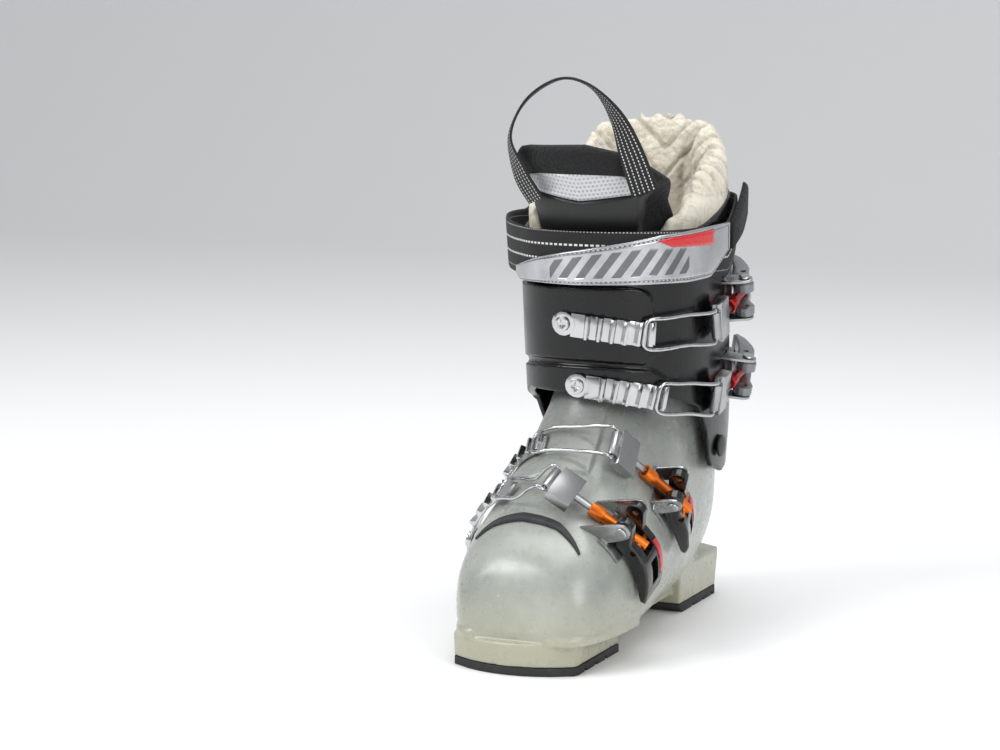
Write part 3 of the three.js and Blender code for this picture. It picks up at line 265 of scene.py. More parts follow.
def molded(obj, voxel, smoothing, factor=0.5):
    """Fuses overlapping solids into one skin with softened corners."""
    remesh = obj.modifiers.new("skin", "REMESH")
    remesh.mode = "VOXEL"
    remesh.voxel_size = voxel / 1000
    bake(obj)
    smooth = obj.modifiers.new("soften", "SMOOTH")
    smooth.factor = factor
    smooth.iterations = smoothing
    bake(obj)
    obj.data.shade_smooth()


def place(obj, body, slot, material, *nodes):
    obj.data.materials.clear()
    obj.data.materials.append(material)
    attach(obj, body)
    if nodes:
        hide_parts(*nodes)
    return obj


# ------------------------------------------------------------------ shader helpers
class Shader:
    def __init__(self, name):
        self.material = bpy.data.materials.new(name)
        self.material.use_nodes = True
        self.tree = self.material.node_tree
        self.bsdf = self.tree.nodes["Principled BSDF"]
        self.output = self.tree.nodes["Material Output"]

    def node(self, kind, **values):
        made = self.tree.nodes.new(kind)
        for key, value in values.items():
            if hasattr(made, key):
                setattr(made, key, value)
            else:
                made.inputs[key].default_value = value
        return made

    def link(self, source, target):
        self.tree.links.new(source, target)

    def math(self, operation, a, b=0.0, clamp=False):
        made = self.node("ShaderNodeMath", operation=operation, use_clamp=clamp)
        for socket, value in zip(made.inputs, (a, b)):
            if isinstance(value, (int, float)):
                socket.default_value = value
            else:
                self.link(value, socket)
        return made.outputs[0]

    def coords(self, kind="Object"):
        return self.node("ShaderNodeTexCoord").outputs[kind]

    def noise(self, scale, detail=4.0, roughness=0.55, coords=None, distortion=0.0):
        made = self.node("ShaderNodeTexNoise")
        made.inputs["Scale"].default_value = scale
        made.inputs["Detail"].default_value = detail
        made.inputs["Roughness"].default_value = roughness
        made.inputs["Distortion"].default_value = distortion
        self.link(coords or self.coords(), made.inputs["Vector"])
        return made.outputs["Fac"]

    def voronoi(self, scale, coords=None, feature="F1", randomness=1.0):
        made = self.node("ShaderNodeTexVoronoi", feature=feature)
        made.inputs["Scale"].default_value = scale
        made.inputs["Randomness"].default_value = randomness
        self.link(coords or self.coords(), made.inputs["Vector"])
        return made.outputs["Distance"]

    def ramp(self, source, stops):
        made = self.node("ShaderNodeValToRGB")
        elements = made.color_ramp.elements
        while len(elements) < len(stops):
            elements.new(0.5)
        for element, (place_, colour) in zip(elements, stops):
            element.position = place_
            element.color = (*colour, 1) if len(colour) == 3 else colour
        self.link(source, made.inputs["Fac"])
        return made.outputs["Color"]

    def level(self, source, a, b, low=0.0, high=1.0):
        made = self.node("ShaderNodeMapRange")
        self.link(source, made.inputs["Value"])
        for key, value in zip(("From Min", "From Max", "To Min", "To Max"), (a, b, low, high)):
            made.inputs[key].default_value = value
        return made.outputs["Result"]

    def mix(self, fac, a, b, blend="MIX"):
        made = self.node("ShaderNodeMix", data_type="RGBA", blend_type=blend)
        for socket, value in ((made.inputs[0], fac), (made.inputs[6], a), (made.inputs[7], b)):
            if isinstance(value, (int, float)):
                socket.default_value = value
            elif isinstance(value, (tuple, list)):
                socket.default_value = (*value[:3], 1)
            else:
                self.link(value, socket)
        return made.outputs[2]

    def bump(self, height, strength, distance, previous=None):
        made = self.node("ShaderNodeBump")
        made.inputs["Strength"].default_value = strength
        made.inputs["Distance"].default_value = distance
        self.link(height, made.inputs["Height"])
        if previous is not None:
            self.link(previous, made.inputs["Normal"])
        self.link(made.outputs["Normal"], self.bsdf.inputs["Normal"])
        return made.outputs["Normal"]

    def set(self, **values):
        for key, value in values.items():
            socket = self.bsdf.inputs[key.replace("_", " ")]
            if isinstance(value, (int, float)):
                socket.default_value = value
            elif isinstance(value, (tuple, list)):
                opaque = len(value) == 3 and socket.type == "RGBA"
                socket.default_value = (*value, 1) if opaque else value
            else:
                self.link(value, socket)
        return self

    def axes(self, coords):
        split = self.node("ShaderNodeSeparateXYZ")
        self.link(coords, split.inputs[0])
        return split.outputs


def shell_material():
    s = Shader("shell_plastic")
    place_ = s.coords()
    _, y, z = s.axes(place_)
    cloud = s.noise(28, 5, 0.6)
    fine = s.noise(160, 5, 0.65)
    base = s.ramp(cloud, [(0.3, (0.25, 0.27, 0.25)), (0.5, (0.33, 0.35, 0.32)),
                          (0.72, (0.43, 0.45, 0.41))])
    # painted shade: darker grey higher up over the instep, standing in for the cuff's shadow; paler and
    # yellower plastic low down at toe and heel
    high = s.level(z, 0.085, 0.15)
    # painted cuff shadow: the upper shell is mixed towards dark grey as height rises
    base = s.mix(s.math("MULTIPLY", high, 0.7), base, (0.10, 0.11, 0.11))
    low = s.level(z, 0.05, 0.012)
    base = s.mix(s.math("MULTIPLY", low, 0.8), base, (0.40, 0.385, 0.27))
    scuffs = s.level(s.noise(55, 8, 0.75, distortion=1.2), 0.58, 0.72)
    back = s.level(y, -0.06, 0.02)
    patchy = s.math("MULTIPLY", scuffs, s.level(s.noise(9, 2), 0.45, 0.62))
    base = s.mix(s.math("MULTIPLY", patchy, s.math("MULTIPLY", back, 0.75)), base, (0.72, 0.74, 0.72))
    scratch = s.level(s.noise(400, 2, 0.5, distortion=3.0), 0.66, 0.72)
    base = s.mix(s.math("MULTIPLY", scratch, 0.35), base, (0.78, 0.79, 0.76))
    s.set(Base_Color=base, Subsurface_Weight=0.35, Subsurface_Radius=(0.010, 0.011, 0.009),
          Subsurface_Scale=0.6, IOR=1.5)
    s.set(Roughness=s.level(fine, 0.3, 0.75, 0.22, 0.42), Coat_Weight=0.35, Coat_Roughness=0.25)
    s.bump(fine, 0.12, 0.0006)
    return s.material


def cuff_material():
    s = Shader("cuff_plastic")
    fine = s.noise(220, 6, 0.7)
    smear = s.noise(16, 4, 0.6, distortion=0.6)
    base = s.mix(s.level(smear, 0.5, 0.75, 0.0, 0.35), (0.0035, 0.0035, 0.004), (0.010, 0.010, 0.011))
    scratch = s.level(s.noise(520, 2, 0.5, distortion=4.0), 0.70, 0.76)
    base = s.mix(s.math("MULTIPLY", scratch, 0.25), base, (0.16, 0.16, 0.16))
    s.set(Base_Color=base, Roughness=s.level(smear, 0.3, 0.75, 0.17, 0.34), IOR=1.42)
    s.bump(fine, 0.10, 0.0005)
    return s.material


def rubber_material(name, colour, roughness=0.8):
    s = Shader(name)
    grain = s.noise(420, 5, 0.7)
    dust = s.level(s.noise(35, 5, 0.7), 0.5, 0.78, 0.0, 0.5)
    s.set(Base_Color=s.mix(dust, colour, tuple(min(1, c * 2.4 + 0.05) for c in colour)),
          Roughness=roughness)
    s.bump(grain, 0.25, 0.0006)
    return s.material


def metal_material(name, colour, roughness, metallic=1.0, wear=0.3, grain=300, coat=0.0):
    s = Shader(name)
    cloud = s.noise(45, 5, 0.65)
    fine = s.noise(grain, 4, 0.6)
    dark = tuple(c * 0.72 for c in colour)
    s.set(Base_Color=s.mix(s.level(cloud, 0.4, 0.7, 0.0, wear), colour, dark), Metallic=metallic,
          Roughness=s.level(cloud, 0.3, 0.75, roughness * 0.75, roughness * 1.35), Coat_Weight=coat)
    s.bump(fine, 0.08, 0.0004)
    return s.material


def fleece_material(name, colour, sheen=0.6):
    s = Shader(name)
    curls = s.voronoi(420)
    fuzz = s.noise(900, 4, 0.8)
    pale = tuple(c * 3 + 0.01 for c in colour)
    s.set(Base_Color=s.mix(s.level(fuzz, 0.35, 0.8), colour, pale), Roughness=0.95,
          Sheen_Weight=sheen, Sheen_Roughness=0.5, Sheen_Tint=(0.6, 0.6, 0.62))
    first = s.bump(curls, 0.55, 0.0012)
    s.bump(fuzz, 0.6, 0.0008, first)
    return s.material


def fur_material():
    s = Shader("liner_fur")
    place_ = s.coords()
    strands = s.noise(520, 6, 0.75, distortion=1.5)
    clumps = s.noise(130, 4, 0.7, distortion=0.8)
    base = s.ramp(clumps, [(0.3, (0.60, 0.54, 0.42)), (0.5, (0.80, 0.745, 0.62)),
                           (0.7, (0.90, 0.86, 0.76))])
    # slanting grey feather lines that follow the quilting
    x, _, z = s.axes(place_)
    lean = s.math("ADD", s.math("MULTIPLY", z, 62.0), s.math("MULTIPLY", s.math("ABSOLUTE", x), 30.0))
    wave = s.math("FRACT", s.math("ADD", lean, s.math("MULTIPLY", clumps, 0.35)))
    line = s.level(s.math("ABSOLUTE", s.math("SUBTRACT", wave, 0.5)), 0.055, 0.0)
    broken = s.math("MULTIPLY", line, s.level(strands, 0.35, 0.6))
    base = s.mix(s.math("MULTIPLY", broken, 0.5), base, (0.32, 0.31, 0.29))
    s.set(Base_Color=base, Roughness=0.95, Sheen_Weight=0.5, Sheen_Roughness=0.4,
          Sheen_Tint=(1.0, 0.97, 0.9), Subsurface_Weight=0.15, Subsurface_Radius=(0.004, 0.003, 0.002))
    first = s.bump(clumps, 0.8, 0.003)
    s.bump(strands, 0.9, 0.0012, first)
    return s.material


def webbing_material(name, rows, width):
    """Black woven band with dashed lines.

    Each row is its place across the band (0 to 1), half width in mm, period in mm, duty, brightness.
    """
    s = Shader(name)
    uv = s.coords("UV")
    along, across, _ = s.axes(uv)
    s_mm = s.math("MULTIPLY", along, 100.0)
    t_mm = s.math("MULTIPLY", across, 100.0)
    twill = s.math("SINE", s.math("MULTIPLY", s.math("ADD", s_mm, s.math("MULTIPLY", t_mm, 1.6)), 5.2))
    ribs = s.math("SINE", s.math("MULTIPLY", t_mm, 8.5))
    weave = s.math("MULTIPLY", s.math("ADD", twill, ribs), 0.25)
    lint = s.level(s.noise(300, 5, 0.8), 0.6, 0.8, 0.0, 0.4)
    colour = s.mix(lint, (0.0035, 0.0035, 0.004), (0.022, 0.022, 0.023))
    dashes = None
    for place_, half, period, duty, bright in rows:
        near = s.math("ABSOLUTE", s.math("SUBTRACT", t_mm, place_ * width))
        line = s.math("LESS_THAN", near, half)
        phase = s.math("FRACT", s.math("DIVIDE", s_mm, period))
        dash = s.math("MULTIPLY", s.math("MULTIPLY", line, s.math("LESS_THAN", phase, duty)), bright)
        dashes = dash if dashes is None else s.math("MAXIMUM", dashes, dash)
    colour = s.mix(dashes, colour, (0.78, 0.78, 0.76))
    s.set(Base_Color=colour, Roughness=0.75, Sheen_Weight=0.04)
    first = s.bump(weave, 0.5, 0.0006)
    s.bump(dashes, 0.4, 0.0004, first)
    return s.material


def panel_material():
    """Silver spacer mesh with a grid of small round holes."""
    s = Shader("silver_mesh")
    along, across, _ = s.axes(s.coords("UV"))
    pitch = 0.026
    a = s.math("DIVIDE", along, pitch)
    b = s.math("DIVIDE", across, pitch)
    stagger = s.math("MULTIPLY", s.math("FLOOR", s.math("MODULO", s.math("FLOOR", b), 2.0)), 0.5)
    fa = s.math("SUBTRACT", s.math("FRACT", s.math("ADD", a, stagger)), 0.5)
    fb = s.math("SUBTRACT", s.math("FRACT", b), 0.5)
    r = s.math("SQRT", s.math("ADD", s.math("MULTIPLY", fa, fa), s.math("MULTIPLY", fb, fb)))
    hole = s.level(r, 0.22, 0.32, 1.0, 0.0)
    base = s.mix(s.math("MULTIPLY", hole, 0.55), (0.56, 0.57, 0.59), (0.20, 0.205, 0.215))
    s.set(Base_Color=base, Roughness=0.42, Metallic=0.35, Sheen_Weight=0.2)
    first = s.bump(s.math("SUBTRACT", 1.0, hole), 0.7, 0.0006)
    s.bump(s.noise(900, 3, 0.6), 0.15, 0.0003, first)
    return s.material


def softshell_material():
    s = Shader("black_softshell")
    knit = s.noise(1100, 3, 0.6)
    cloud = s.noise(30, 3)
    s.set(Base_Color=s.mix(cloud, (0.0035, 0.0035, 0.004), (0.009, 0.009, 0.010)),
          Roughness=s.level(cloud, 0.3, 0.7, 0.34, 0.5), Sheen_Weight=0.05)
    s.bump(knit, 0.3, 0.0004)
    return s.material


def badge_material():
    """Chromed leather. The point attribute "rim" runs from 0 at the edge to 1 well inside it."""
    s = Shader("badge_silver")
    cloud = s.noise(60, 4, 0.6)
    crease = s.noise(190, 6, 0.7, distortion=1.0)
    layer = s.node("ShaderNodeAttribute", attribute_name="rim")
    rim = layer.outputs["Fac"]
    border = s.level(s.math("ABSOLUTE", s.math("SUBTRACT", rim, 0.26)), 0.07, 0.03)
    along, across, _ = s.axes(s.coords("UV"))
    stitch = s.math("LESS_THAN", s.math("FRACT", s.math("MULTIPLY", along, 34.0)), 0.6)
    base = s.mix(s.level(cloud, 0.35, 0.7, 0, 0.6), (0.52, 0.53, 0.55), (0.30, 0.31, 0.33))
    base = s.mix(s.math("MULTIPLY", border, 0.8), base, (0.035, 0.035, 0.04))
    base = s.mix(s.math("MULTIPLY", s.math("MULTIPLY", border, stitch), 0.9), base, (0.62, 0.62, 0.63))
    lean = s.math("ADD", s.math("MULTIPLY", along, 9.0), s.math("MULTIPLY", across, -7.0))
    bar = s.math("LESS_THAN", s.math("FRACT", lean), 0.52)
    inside = s.level(rim, 0.62, 0.72)
    start = s.math("MULTIPLY", s.math("GREATER_THAN", along, 0.42), s.math("LESS_THAN", along, 1.36))
    low = s.level(across, 0.235, 0.215)
    bars = s.math("MULTIPLY", s.math("MULTIPLY", bar, inside), s.math("MULTIPLY", start, low))
    base = s.mix(s.math("MULTIPLY", bars, 0.75), base, (0.045, 0.045, 0.05))
    s.set(Base_Color=base, Metallic=0.85, Coat_Weight=0.5, Coat_Roughness=0.08,
          Roughness=s.level(cloud, 0.3, 0.7, 0.12, 0.3))
    first = s.bump(crease, 0.16, 0.0006)
    s.bump(s.math("SUBTRACT", 1.0, s.math("MAXIMUM", bars, border)), 0.6, 0.0008, first)
    return s.material


def gloss_material(name, colour, roughness=0.25, metallic=0.0, coat=0.6):
    s = Shader(name)
    cloud = s.noise(70, 4, 0.6)
    scratch = s.level(s.noise(420, 2, 0.5, distortion=3.0), 0.68, 0.74)
    base = s.mix(s.math("MULTIPLY", scratch, 0.3), colour, tuple(min(1, c + 0.25) for c in colour))
    s.set(Base_Color=base, Metallic=metallic, Coat_Weight=coat, Coat_Roughness=0.12,
          Roughness=s.level(cloud, 0.3, 0.75, roughness * 0.8, roughness * 1.4))
    s.bump(s.noise(350, 3), 0.06, 0.0003)
    return s.material


MATERIALS = {
    "shell_plastic": shell_material(), "cuff_plastic": cuff_material(),
    "sole_rubber": rubber_material("sole_rubber", (0.022, 0.022, 0.022)),
    "seal_rubber": rubber_material("seal_rubber", (0.016, 0.017, 0.018), 0.6),
    "board_plastic": rubber_material("board_plastic", (0.05, 0.05, 0.055), 0.6),
    "footbed_felt": fleece_material("footbed_felt", (0.03, 0.03, 0.032), 0.2),
    "liner_fur": fur_material(),
    "black_fleece": fleece_material("black_fleece", (0.0022, 0.0022, 0.0026), 0.10),
    "silver_mesh": panel_material(), "black_softshell": softshell_material(),
    "badge_silver": badge_material(), "red_gloss": gloss_material("red_gloss", (0.55, 0.008, 0.012)),
    "polished_steel": metal_material("polished_steel", (0.56, 0.56, 0.565), 0.16),
    "cast_zinc": metal_material("cast_zinc", (0.40, 0.405, 0.41), 0.30, wear=0.5, grain=500),
    "dark_metal": metal_material("dark_metal", (0.02, 0.02, 0.021), 0.35, 0.6),
    "barrel_orange": metal_material("barrel_orange", (0.85, 0.19, 0.02), 0.3, 0.8),
    "barrel_red": metal_material("barrel_red", (0.50, 0.02, 0.02), 0.3, 0.8),
    "lever_black": gloss_material("lever_black", (0.004, 0.004, 0.0045), 0.22, coat=0.3),
    "lever_grey": gloss_material("lever_grey", (0.20, 0.205, 0.215), 0.34, 0.6),
    "inlay_red": gloss_material("inlay_red", (0.45, 0.012, 0.014), 0.3),
    "inlay_grey": gloss_material("inlay_grey", (0.38, 0.385, 0.40), 0.3, 0.7),
}


# ------------------------------------------------------------------ lower shell
def lug(name, width, length, offset, nose, corner, rearward, z0, z1, flare):
    half = width / 2
    tip = HEEL_REAR if rearward else TOE_TIP
    way = -1 if rearward else 1
    reach = math.asin((half - corner) / nose)
    corner_y = tip + way * (nose * (1 - math.cos(reach)) + corner * 0.9)
    outline = [(nose * math.sin(reach * k / 12), tip + way * nose * (1 - math.cos(reach * k / 12)))
               for k in range(-12, 13)]
    outline += [(half - corner * 0.25, corner_y - way * corner * 0.45), (half, corner_y + way * 2),
                (half, tip + way * length), (-half, tip + way * length), (-half, corner_y + way * 2),
                (-half + corner * 0.25, corner_y - way * corner * 0.45)]
    middle = tip + way * length / 2
    n = len(outline)
    points = [(x + offset, y, z0) for x, y in outline]
    points += [(offset + x * flare, middle + (y - middle) * flare, z1) for x, y in outline]
    faces = [list(range(n)), [n + k for k in range(n)]]
    faces += [[k, (k + 1) % n, n + (k + 1) % n, n + k] for k in range(n)]
    obj = mesh_object(name, points, faces, smooth=False)
    fix_normals(obj)
    return obj


def flap_sheet():
    def edges(t):
        return table([(0, 5), (0.5, 4.35), (1, 4.6)], t), 8.4 + 0 * t
    return sheet("flap", SHELL, (-60, 17), edges, lambda t, h: (-1.5 + 0 * t, FLAP_LIFT + 0 * t), 30, 24)


def box_tool(name, x0, x1, y0, y1, z0, z1):
    return prism(name, [(y0, z0), (y1, z0), (y1, z1), (y0, z1)], x0, x1)


def toe_welt():
    """Upright wall round the foot of the shell, over the toe lug."""
    angles = np.radians(np.arange(0, 360, 1.0))
    u = np.linspace(0, 5.2, 131)[:, None]
    points = ring(SHELL, u, angles[None, :])
    ys = np.linspace(-185.4, -111, 50)
    half = []
    for y in ys:
        near = (np.abs(points[..., 1] - y) < 2.2) & (np.abs(points[..., 2] - WELT_TOP) < 2.2)
        xs = points[..., 0][near]
        half.append((xs.min(), xs.max()) if len(xs) > 3 and xs.min() < 0 < xs.max() else (-6, 6))
    outline = [(x[1], y) for x, y in zip(half, ys)] + [(x[0], y) for x, y in list(zip(half, ys))[::-1]]
    n = len(outline)
    made = [(x, y, z) for z in (TOE_TOP - 1, WELT_TOP) for x, y in outline]
    faces = [list(range(n)), [n + k for k in range(n)]]
    faces += [[k, (k + 1) % n, n + (k + 1) % n, n + k] for k in range(n)]
    obj = mesh_object("welt", made, faces, smooth=False)
    fix_normals(obj)
    return obj


def make_lower_shell():
    body = lofted(SHELL, 0, SHELL_TOP, 110, 96, name="lower_shell_skin")
    for tool in (toe_welt(), lug("t1", 79, 80, -2.2, 62, 5, False, TOE_RUBBER + GAP, TOE_TOP, 1.01),
                 lug("t2", 71, 86, 0, 44, 12, True, HEEL_RUBBER + GAP, HEEL_TOP, 1.045),
                 box_tool("t3", -30, 30, -120, 10, 12, 24), flap_sheet()):
        boolean(body, tool, "UNION")
    boolean(body, lofted(SHELL, 1.1, 12, 60, 64, -SHELL_WALL, "t5"), "DIFFERENCE")
    boolean(body, box_tool("t6", -80, 80, -200, 100, -5, TOE_RUBBER + GAP), "DIFFERENCE")
    boolean(body, box_tool("t7", -80, 80, -100, 100, COLLAR_TOP, COLLAR_TOP + 60), "DIFFERENCE")
    molded(body, 1.1, 3)
    return place(body, "shell", "shell_plastic", MATERIALS["shell_plastic"], "lower_shell")


# ------------------------------------------------------------------ cuff
def make_cuff():
    wall = lofted(CUFF, -0.35, 4.6, 70, 96, name="cuff_skin")
    boolean(wall, lofted(CUFF, -0.6, 4.9, 50, 80, -CUFF_WALL, "t1"), "DIFFERENCE")

    def upper(t):
        return (table([(0, 1.66), (0.95, 1.6), (1, 1.74)], t),
                table([(0, 3.05), (0.93, 3.03), (0.98, 2.95), (1, 2.8)], t))

    def lower(t):
        return (table([(0, 0.72), (0.93, 0.82), (1, 0.95)], t),
                table([(0, 1.52), (0.93, 1.5), (1, 1.38)], t))

    for span, edges in (((-75, 41), upper), ((-75, 50), lower)):
        tab = sheet("t2", CUFF, span, edges, lambda t, h: (-1.2 + 0 * t, TAB_LIFT + 0 * t), 60, 10)
        boolean(wall, tab, "UNION")
    below = [(-120, 40), (-120, 152), (-60, 150), (-22, 138), (-8, 120), (-1, 102), (8, 92),
             (26, 89), (50, 92), (70, 97), (120, 97), (120, 40)]
    above = [(-120, 242), (-62, 244), (-20, 252), (20, 264), (52, 270), (120, 272), (120, 400),
             (-120, 400)]
    boolean(wall, prism("t3", below, -90, 90), "DIFFERENCE")
    boolean(wall, prism("t4", above, -90, 90), "DIFFERENCE")
    molded(wall, 0.9, 2)
    return place(wall, "cuff", "cuff_plastic", MATERIALS["cuff_plastic"], "cuff")


# ------------------------------------------------------------------ liner
def collar_edges(t):
    round_ = np.abs(2 * t - 1)
    low = table([(0, 0.98), (1, 1.05)], round_)
    high = table([(0, 5.42), (0.35, 5.36), (0.7, 4.9), (0.9, 4.35), (1, 4.1)], round_)
    return low, high


def inflate(obj, cap):
    """Blows a closed pad up with a cloth simulation; `cap` gives the farthest move in mm at a point."""
    rest = np.empty(len(obj.data.vertices) * 3)
    obj.data.vertices.foreach_get("co", rest)
    cloth = obj.modifiers.new("padding", "CLOTH")
    cloth.settings.use_pressure = True
    cloth.settings.uniform_pressure_force = 4
    cloth.settings.effector_weights.gravity = 0
    cloth.settings.quality = 5
    cloth.collision_settings.use_collision = False
    scene = bpy.context.scene
    for number in range(1, 21):
        scene.frame_set(number)
    graph = bpy.context.evaluated_depsgraph_get()
    made = obj.evaluated_get(graph).to_mesh()
    blown = np.empty(len(rest))
    made.vertices.foreach_get("co", blown)
    obj.modifiers.clear()
    scene.frame_set(1)
    rest, blown = rest.reshape(-1, 3), blown.reshape(-1, 3)
    move = blown - rest
    size = np.linalg.norm(move, axis=1, keepdims=True)
    limit = cap(rest)[:, None] / 1000
    move *= np.minimum(1, limit / np.maximum(size, 1e-9))
    obj.data.vertices.foreach_set("co", (rest + move).ravel())
    obj.data.update()


def make_liner_cuff():
    def lifts(t, h):
        low, high = collar_edges(t)
        round_ = np.abs(2 * t - 1)
        sunk = table([(0, 10), (0.6, 10.5), (0.85, 16), (1, 21)], round_)
        tucked = table([(0, 1), (1.75, 1), (2.25, 0), (9, 0)], low + (high - low) * h)
        roll = table([(0, 0), (0.86, 0), (0.95, 1.5), (1, 4)], h)
        outside = -CUFF_WALL - 1.2 - sunk * tucked
        return outside - 11 + 2 * tucked + roll, outside - roll
    obj = sheet("liner_cuff_fur", CUFF, (52, 308), collar_edges, lifts, 90, 70)
    skin = obj.modifiers.new("skin", "REMESH")
    skin.mode = "VOXEL"
    skin.voxel_size = 0.0045
    bake(obj)
    inflate(obj, lambda p: np.interp(p[:, 2], [0.245, 0.285], [0.9, 7.5]))
    more = obj.modifiers.new("fine", "SUBSURF")
    more.levels = more.render_levels = 2
    bake(obj)
    obj.data.shade_smooth()
    # sewn lines, then tufts
    centre = Vector(to_row([0, -5, 0]).tolist())
    normals = [v.normal.copy() for v in obj.data.vertices]
    for vertex, normal in zip(obj.data.vertices, normals):
        p = vertex.co
        around = math.atan2(p.x, -(p.y - centre.y)) * 58
        up = p.z * 1000
        show = min(1.0, max(0.0, (up - 262) / 14))
        lean = (up * 0.8 + abs(around) * 0.9) / 15
        seam = math.exp(-(((lean % 1) - 0.5) / 0.10) ** 2)
        tuft = noise.noise(p * 260) * 0.55 + noise.noise(p * 620) * 0.3
        vertex.co = p + normal * (0.001 * (show * (0.7 - 2.4 * seam) + show * tuft * 1.3))
    place(obj, "cuff", "liner_fur", MATERIALS["liner_fur"], "liner_cuff")


# ------------------------------------------------------------------ tongue
SPAN = (-66, 74)


def tongue_edges(t):
    top = table([(0, 4.5), (0.06, 4.9), (0.2, 5.22), (0.5, 5.26), (0.7, 5.12), (0.86, 4.75),
                 (0.96, 4.3), (1, 4.1)], t)
    return 1.6 + 0 * t, top


def tongue_face(t, u):
    degrees = np.abs(SPAN[0] + (SPAN[1] - SPAN[0]) * t)
    sunk = table([(1.6, -25), (2, -25), (2.6, -12), (3.8, -9.5), (4.4, -4.5), (5.2, 1)], u)
    side = table([(0, 0), (34, 0), (48, 1), (90, 1)], degrees)
    tucked = table([(0, 1), (4.4, 1), (4.75, 0), (6, 0)], u)
    return sunk - side * tucked * 13


def make_tongue():
    def lifts(t, h):
        low, high = tongue_edges(t)
        face = tongue_face(t, low + (high - low) * h)
        middle = np.sin(math.pi * np.clip(t, 0, 1)) ** 0.6
        roll = table([(0, 0), (0.88, 0), (0.95, 2.6), (0.985, 2.2), (1, -1)], h)
        return face - 4.5 - 4.5 * middle - roll, face + roll
    obj = sheet("tongue_pad", CUFF, SPAN, tongue_edges, lifts, 90, 110)
    place(obj, "cuff", "black_fleece", MATERIALS["black_fleece"], "tongue")

    def cover(name, places, edges, thickness, slot, node, rows):
        def lifts_(t, h):
            low, high = edges(t)
            across = places[0] + (places[1] - places[0]) * t
            face = tongue_face(across, low + (high - low) * h)
            rim = np.minimum(np.minimum(t, 1 - t) * 14, np.minimum(h, 1 - h) * 8)
            return face - 1.0 + 0 * t, face + 0.5 + thickness * np.clip(rim, 0, 1) ** 0.5
        span = [SPAN[0] + (SPAN[1] - SPAN[0]) * p for p in places]
        made = sheet(name, CUFF, span, edges, lifts_, 70, rows)
        return place(made, "cuff", slot, MATERIALS[slot], node)

    def upper(t):
        return (table([(0, 4.66), (0.5, 4.45), (1, 4.6)], t),
                table([(0, 4.72), (0.12, 4.82), (0.25, 4.86), (0.75, 4.86), (0.9, 4.78), (1, 4.66)], t))

    def lower(t):
        return 2.7 + 0 * t, table([(0, 4.64), (0.5, 4.43), (1, 4.58)], t)

    cover("tongue_mesh_panel", (0.15, 0.8), upper, 0.9, "silver_mesh", "tongue_upper_panel", 24)
    cover("tongue_smooth_panel", (0.15, 0.8), lower, 1.3, "black_softshell", "tongue_lower_panel", 40)


# ------------------------------------------------------------------ strap, badge, loop
STRAP = {"low": 3.2, "high": 4.02, "width": 34.0, "thickness": 2.2, "slack": 11, "rise": 0.12,
         "back": 0.42}


def strap_lift(degrees):
    away = np.abs(((degrees + 85 + 540) % 360) - 180)
    return 0.6 + STRAP["slack"] * np.exp(-((away / 34) ** 2))


def strap_base(degrees):
    return np.maximum(strap_lift(degrees), 2.6)


def strap_edges(t):
    degrees = t * 360 - 180
    slack = STRAP["rise"] * (strap_lift(degrees) - 0.6) / STRAP["slack"]
    back = table([(0, 0), (94, 0), (112, STRAP["back"]), (180, STRAP["back"])], np.abs(degrees))
    return STRAP["low"] + slack + back, STRAP["high"] + slack + back * 0.8


def make_strap():
    def lifts(t, h):
        base = strap_base(t * 360 - 180)
        edge = np.clip(np.minimum(h, 1 - h) * 16, 0, 1)
        return base + 0.5 * (1 - edge), base + STRAP["thickness"] - 0.5 * (1 - edge)
    band = sheet("power_strap_band", CUFF, (-180, 180), strap_edges, lifts, 220, 20, closed=True)
    rows = [(0.12, 0.35, 2.2, 0.45, 0.55), (0.36, 0.62, 3.4, 0.62, 0.9), (0.62, 0.62, 3.4, 0.62, 0.9),
            (0.86, 0.35, 2.2, 0.45, 0.55)]
    webbing = webbing_material("strap_webbing", rows, STRAP["width"])
    place(band, "cuff", "black_webbing", webbing, "power_strap")

    def end_edges(t):
        return (table([(0, 3.62), (0.5, 3.78), (1, 4.1)], t),
                table([(0, 4.0), (0.35, 4.28), (0.75, 4.55), (1, 4.5)], t))

    def end_lifts(t, h):
        base = 2.6 + STRAP["thickness"] + GAP + 4 * t ** 1.6
        puff = np.clip(np.minimum(np.minimum(t, 1 - t) * 5, np.minimum(h, 1 - h) * 5), 0, 1) ** 0.5
        return base + 0 * h, base + 1.2 + 2.4 * puff
    end = sheet("strap_end_pad", CUFF, (95.5, 124), end_edges, end_lifts, 40, 40)
    place(end, "cuff", "black_fleece", MATERIALS["black_fleece"], "strap_end")


def badge_edges(t):
    degrees = -46 + 140 * t
    low = table([(-46, 3.26), (-40, 3.12), (0, 3.1), (60, 3.16), (76, 3.22), (94, 3.66)], degrees)
    high = table([(-46, 3.36), (-20, 3.58), (10, 3.78), (43, 3.96), (77, 4.03), (94, 4.04)], degrees)
    return low, high


def badge_base(degrees):
    return strap_base(degrees) + STRAP["thickness"] + GAP


